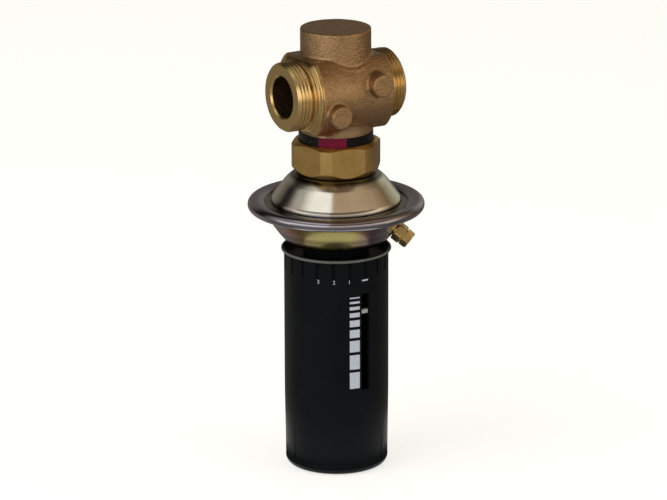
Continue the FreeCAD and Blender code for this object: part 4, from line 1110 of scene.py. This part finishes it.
    def light_room(self, context, look):
        """The paper's white where the camera sees past the floor; an even, softer light on matt surfaces."""
        world = bpy.data.worlds.new("studio_room")
        context.scene.world = world
        world.use_nodes = True
        tree = world.node_tree
        tree.nodes.clear()
        share = self.background_share(tree)
        level = add(tree, "MapRange", {"Value": share, "To Min": look.room_light, "To Max": 1.0})
        room = add(tree, "Background", {"Color": opaque(self.PAPER), "Strength": level})
        add(tree, "OutputWorld", {"Surface": room})

    def softbox(self, name, energy, turn, elevation, distance, width, height):
        """One large softbox that faces the middle of the valve."""
        lamp = bpy.data.lights.new(name, "AREA")
        lamp.shape = "RECTANGLE"
        lamp.size = width
        lamp.size_y = height
        lamp.energy = energy
        back = self.direction(turn, elevation)
        box = placed(name, lamp)
        box.location = Vector((0, 0, VIEW_HEIGHT * MM)) + back * distance
        box.rotation_mode = "QUATERNION"
        box.rotation_quaternion = back.to_track_quat("Z", "Y")
        box.visible_glossy = False

    def place_camera(self, context):
        """The photograph's view: a long lens from a little above, with the valve just right of the middle."""
        lens = bpy.data.cameras.new("studio_camera")
        lens.lens = VIEW_LENS
        lens.sensor_width = 36.0
        lens.clip_start = 0.05
        lens.clip_end = 50.0
        back = self.direction(0, VIEW_ELEVATION)
        turn = math.radians(VIEW_AZIMUTH)
        right = Vector((math.cos(turn), math.sin(turn), 0))
        middle = Vector((0, 0, VIEW_HEIGHT * MM)) - right * VIEW_ASIDE * MM
        camera = placed("studio_camera", lens)
        camera.location = middle + back * VIEW_DISTANCE * MM
        camera.rotation_mode = "QUATERNION"
        facing = (-back).to_track_quat("-Z", "Y")
        camera.rotation_quaternion = facing @ Matrix.Rotation(VIEW_ROLL, 3, "Z").to_quaternion()
        context.scene.camera = camera


class VALVE_PT_pieces(bpy.types.Panel):
    """Lists the valve's pieces and the values that can be changed"""

    bl_idname = "VALVE_PT_pieces"
    bl_label = "Valve"
    bl_space_type = "VIEW_3D"
    bl_region_type = "UI"
    bl_category = "Valve"

    def draw(self, context):
        for step in STEPS:
            self.layout.operator(step.bl_idname)
        for name in SETTINGS:
            group = getattr(context.scene, name)
            part = self.layout.box()
            for value in group.bl_rna.properties:
                if not value.is_readonly and value.identifier != "name":
                    part.prop(group, value.identifier)


SETTINGS = {
    "valve_body": ValveBodySettings,
    "valve_casing": ValveCasingSettings,
    "valve_handle": ValveHandleSettings,
    "valve_studio": ValveStudioSettings,
}
STEPS = (
    VALVE_OT_casting,
    VALVE_OT_ports,
    VALVE_OT_band,
    VALVE_OT_metal,
    VALVE_OT_handle,
    VALVE_OT_scale,
    VALVE_OT_spring,
    VALVE_OT_stage,
)


def register():
    """Make the settings, the operators and the panel known to Blender."""
    for name, group in SETTINGS.items():
        bpy.utils.register_class(group)
        setattr(bpy.types.Scene, name, bpy.props.PointerProperty(type=group))
    for step in STEPS:
        bpy.utils.register_class(step)
    bpy.utils.register_class(VALVE_PT_pieces)


def unregister():
    """Take them out again."""
    bpy.utils.unregister_class(VALVE_PT_pieces)
    for step in reversed(STEPS):
        bpy.utils.unregister_class(step)
    for name, group in SETTINGS.items():
        delattr(bpy.types.Scene, name)
        bpy.utils.unregister_class(group)


def main():
    """Build every piece and the studio."""
    register()
    bpy.ops.valve.casting()
    bpy.ops.valve.ports()
    bpy.ops.valve.band()
    bpy.ops.valve.metal()
    bpy.ops.valve.handle()
    bpy.ops.valve.scale()
    bpy.ops.valve.spring()
    bpy.ops.valve.stage()


if __name__ == "__main__":
    main()
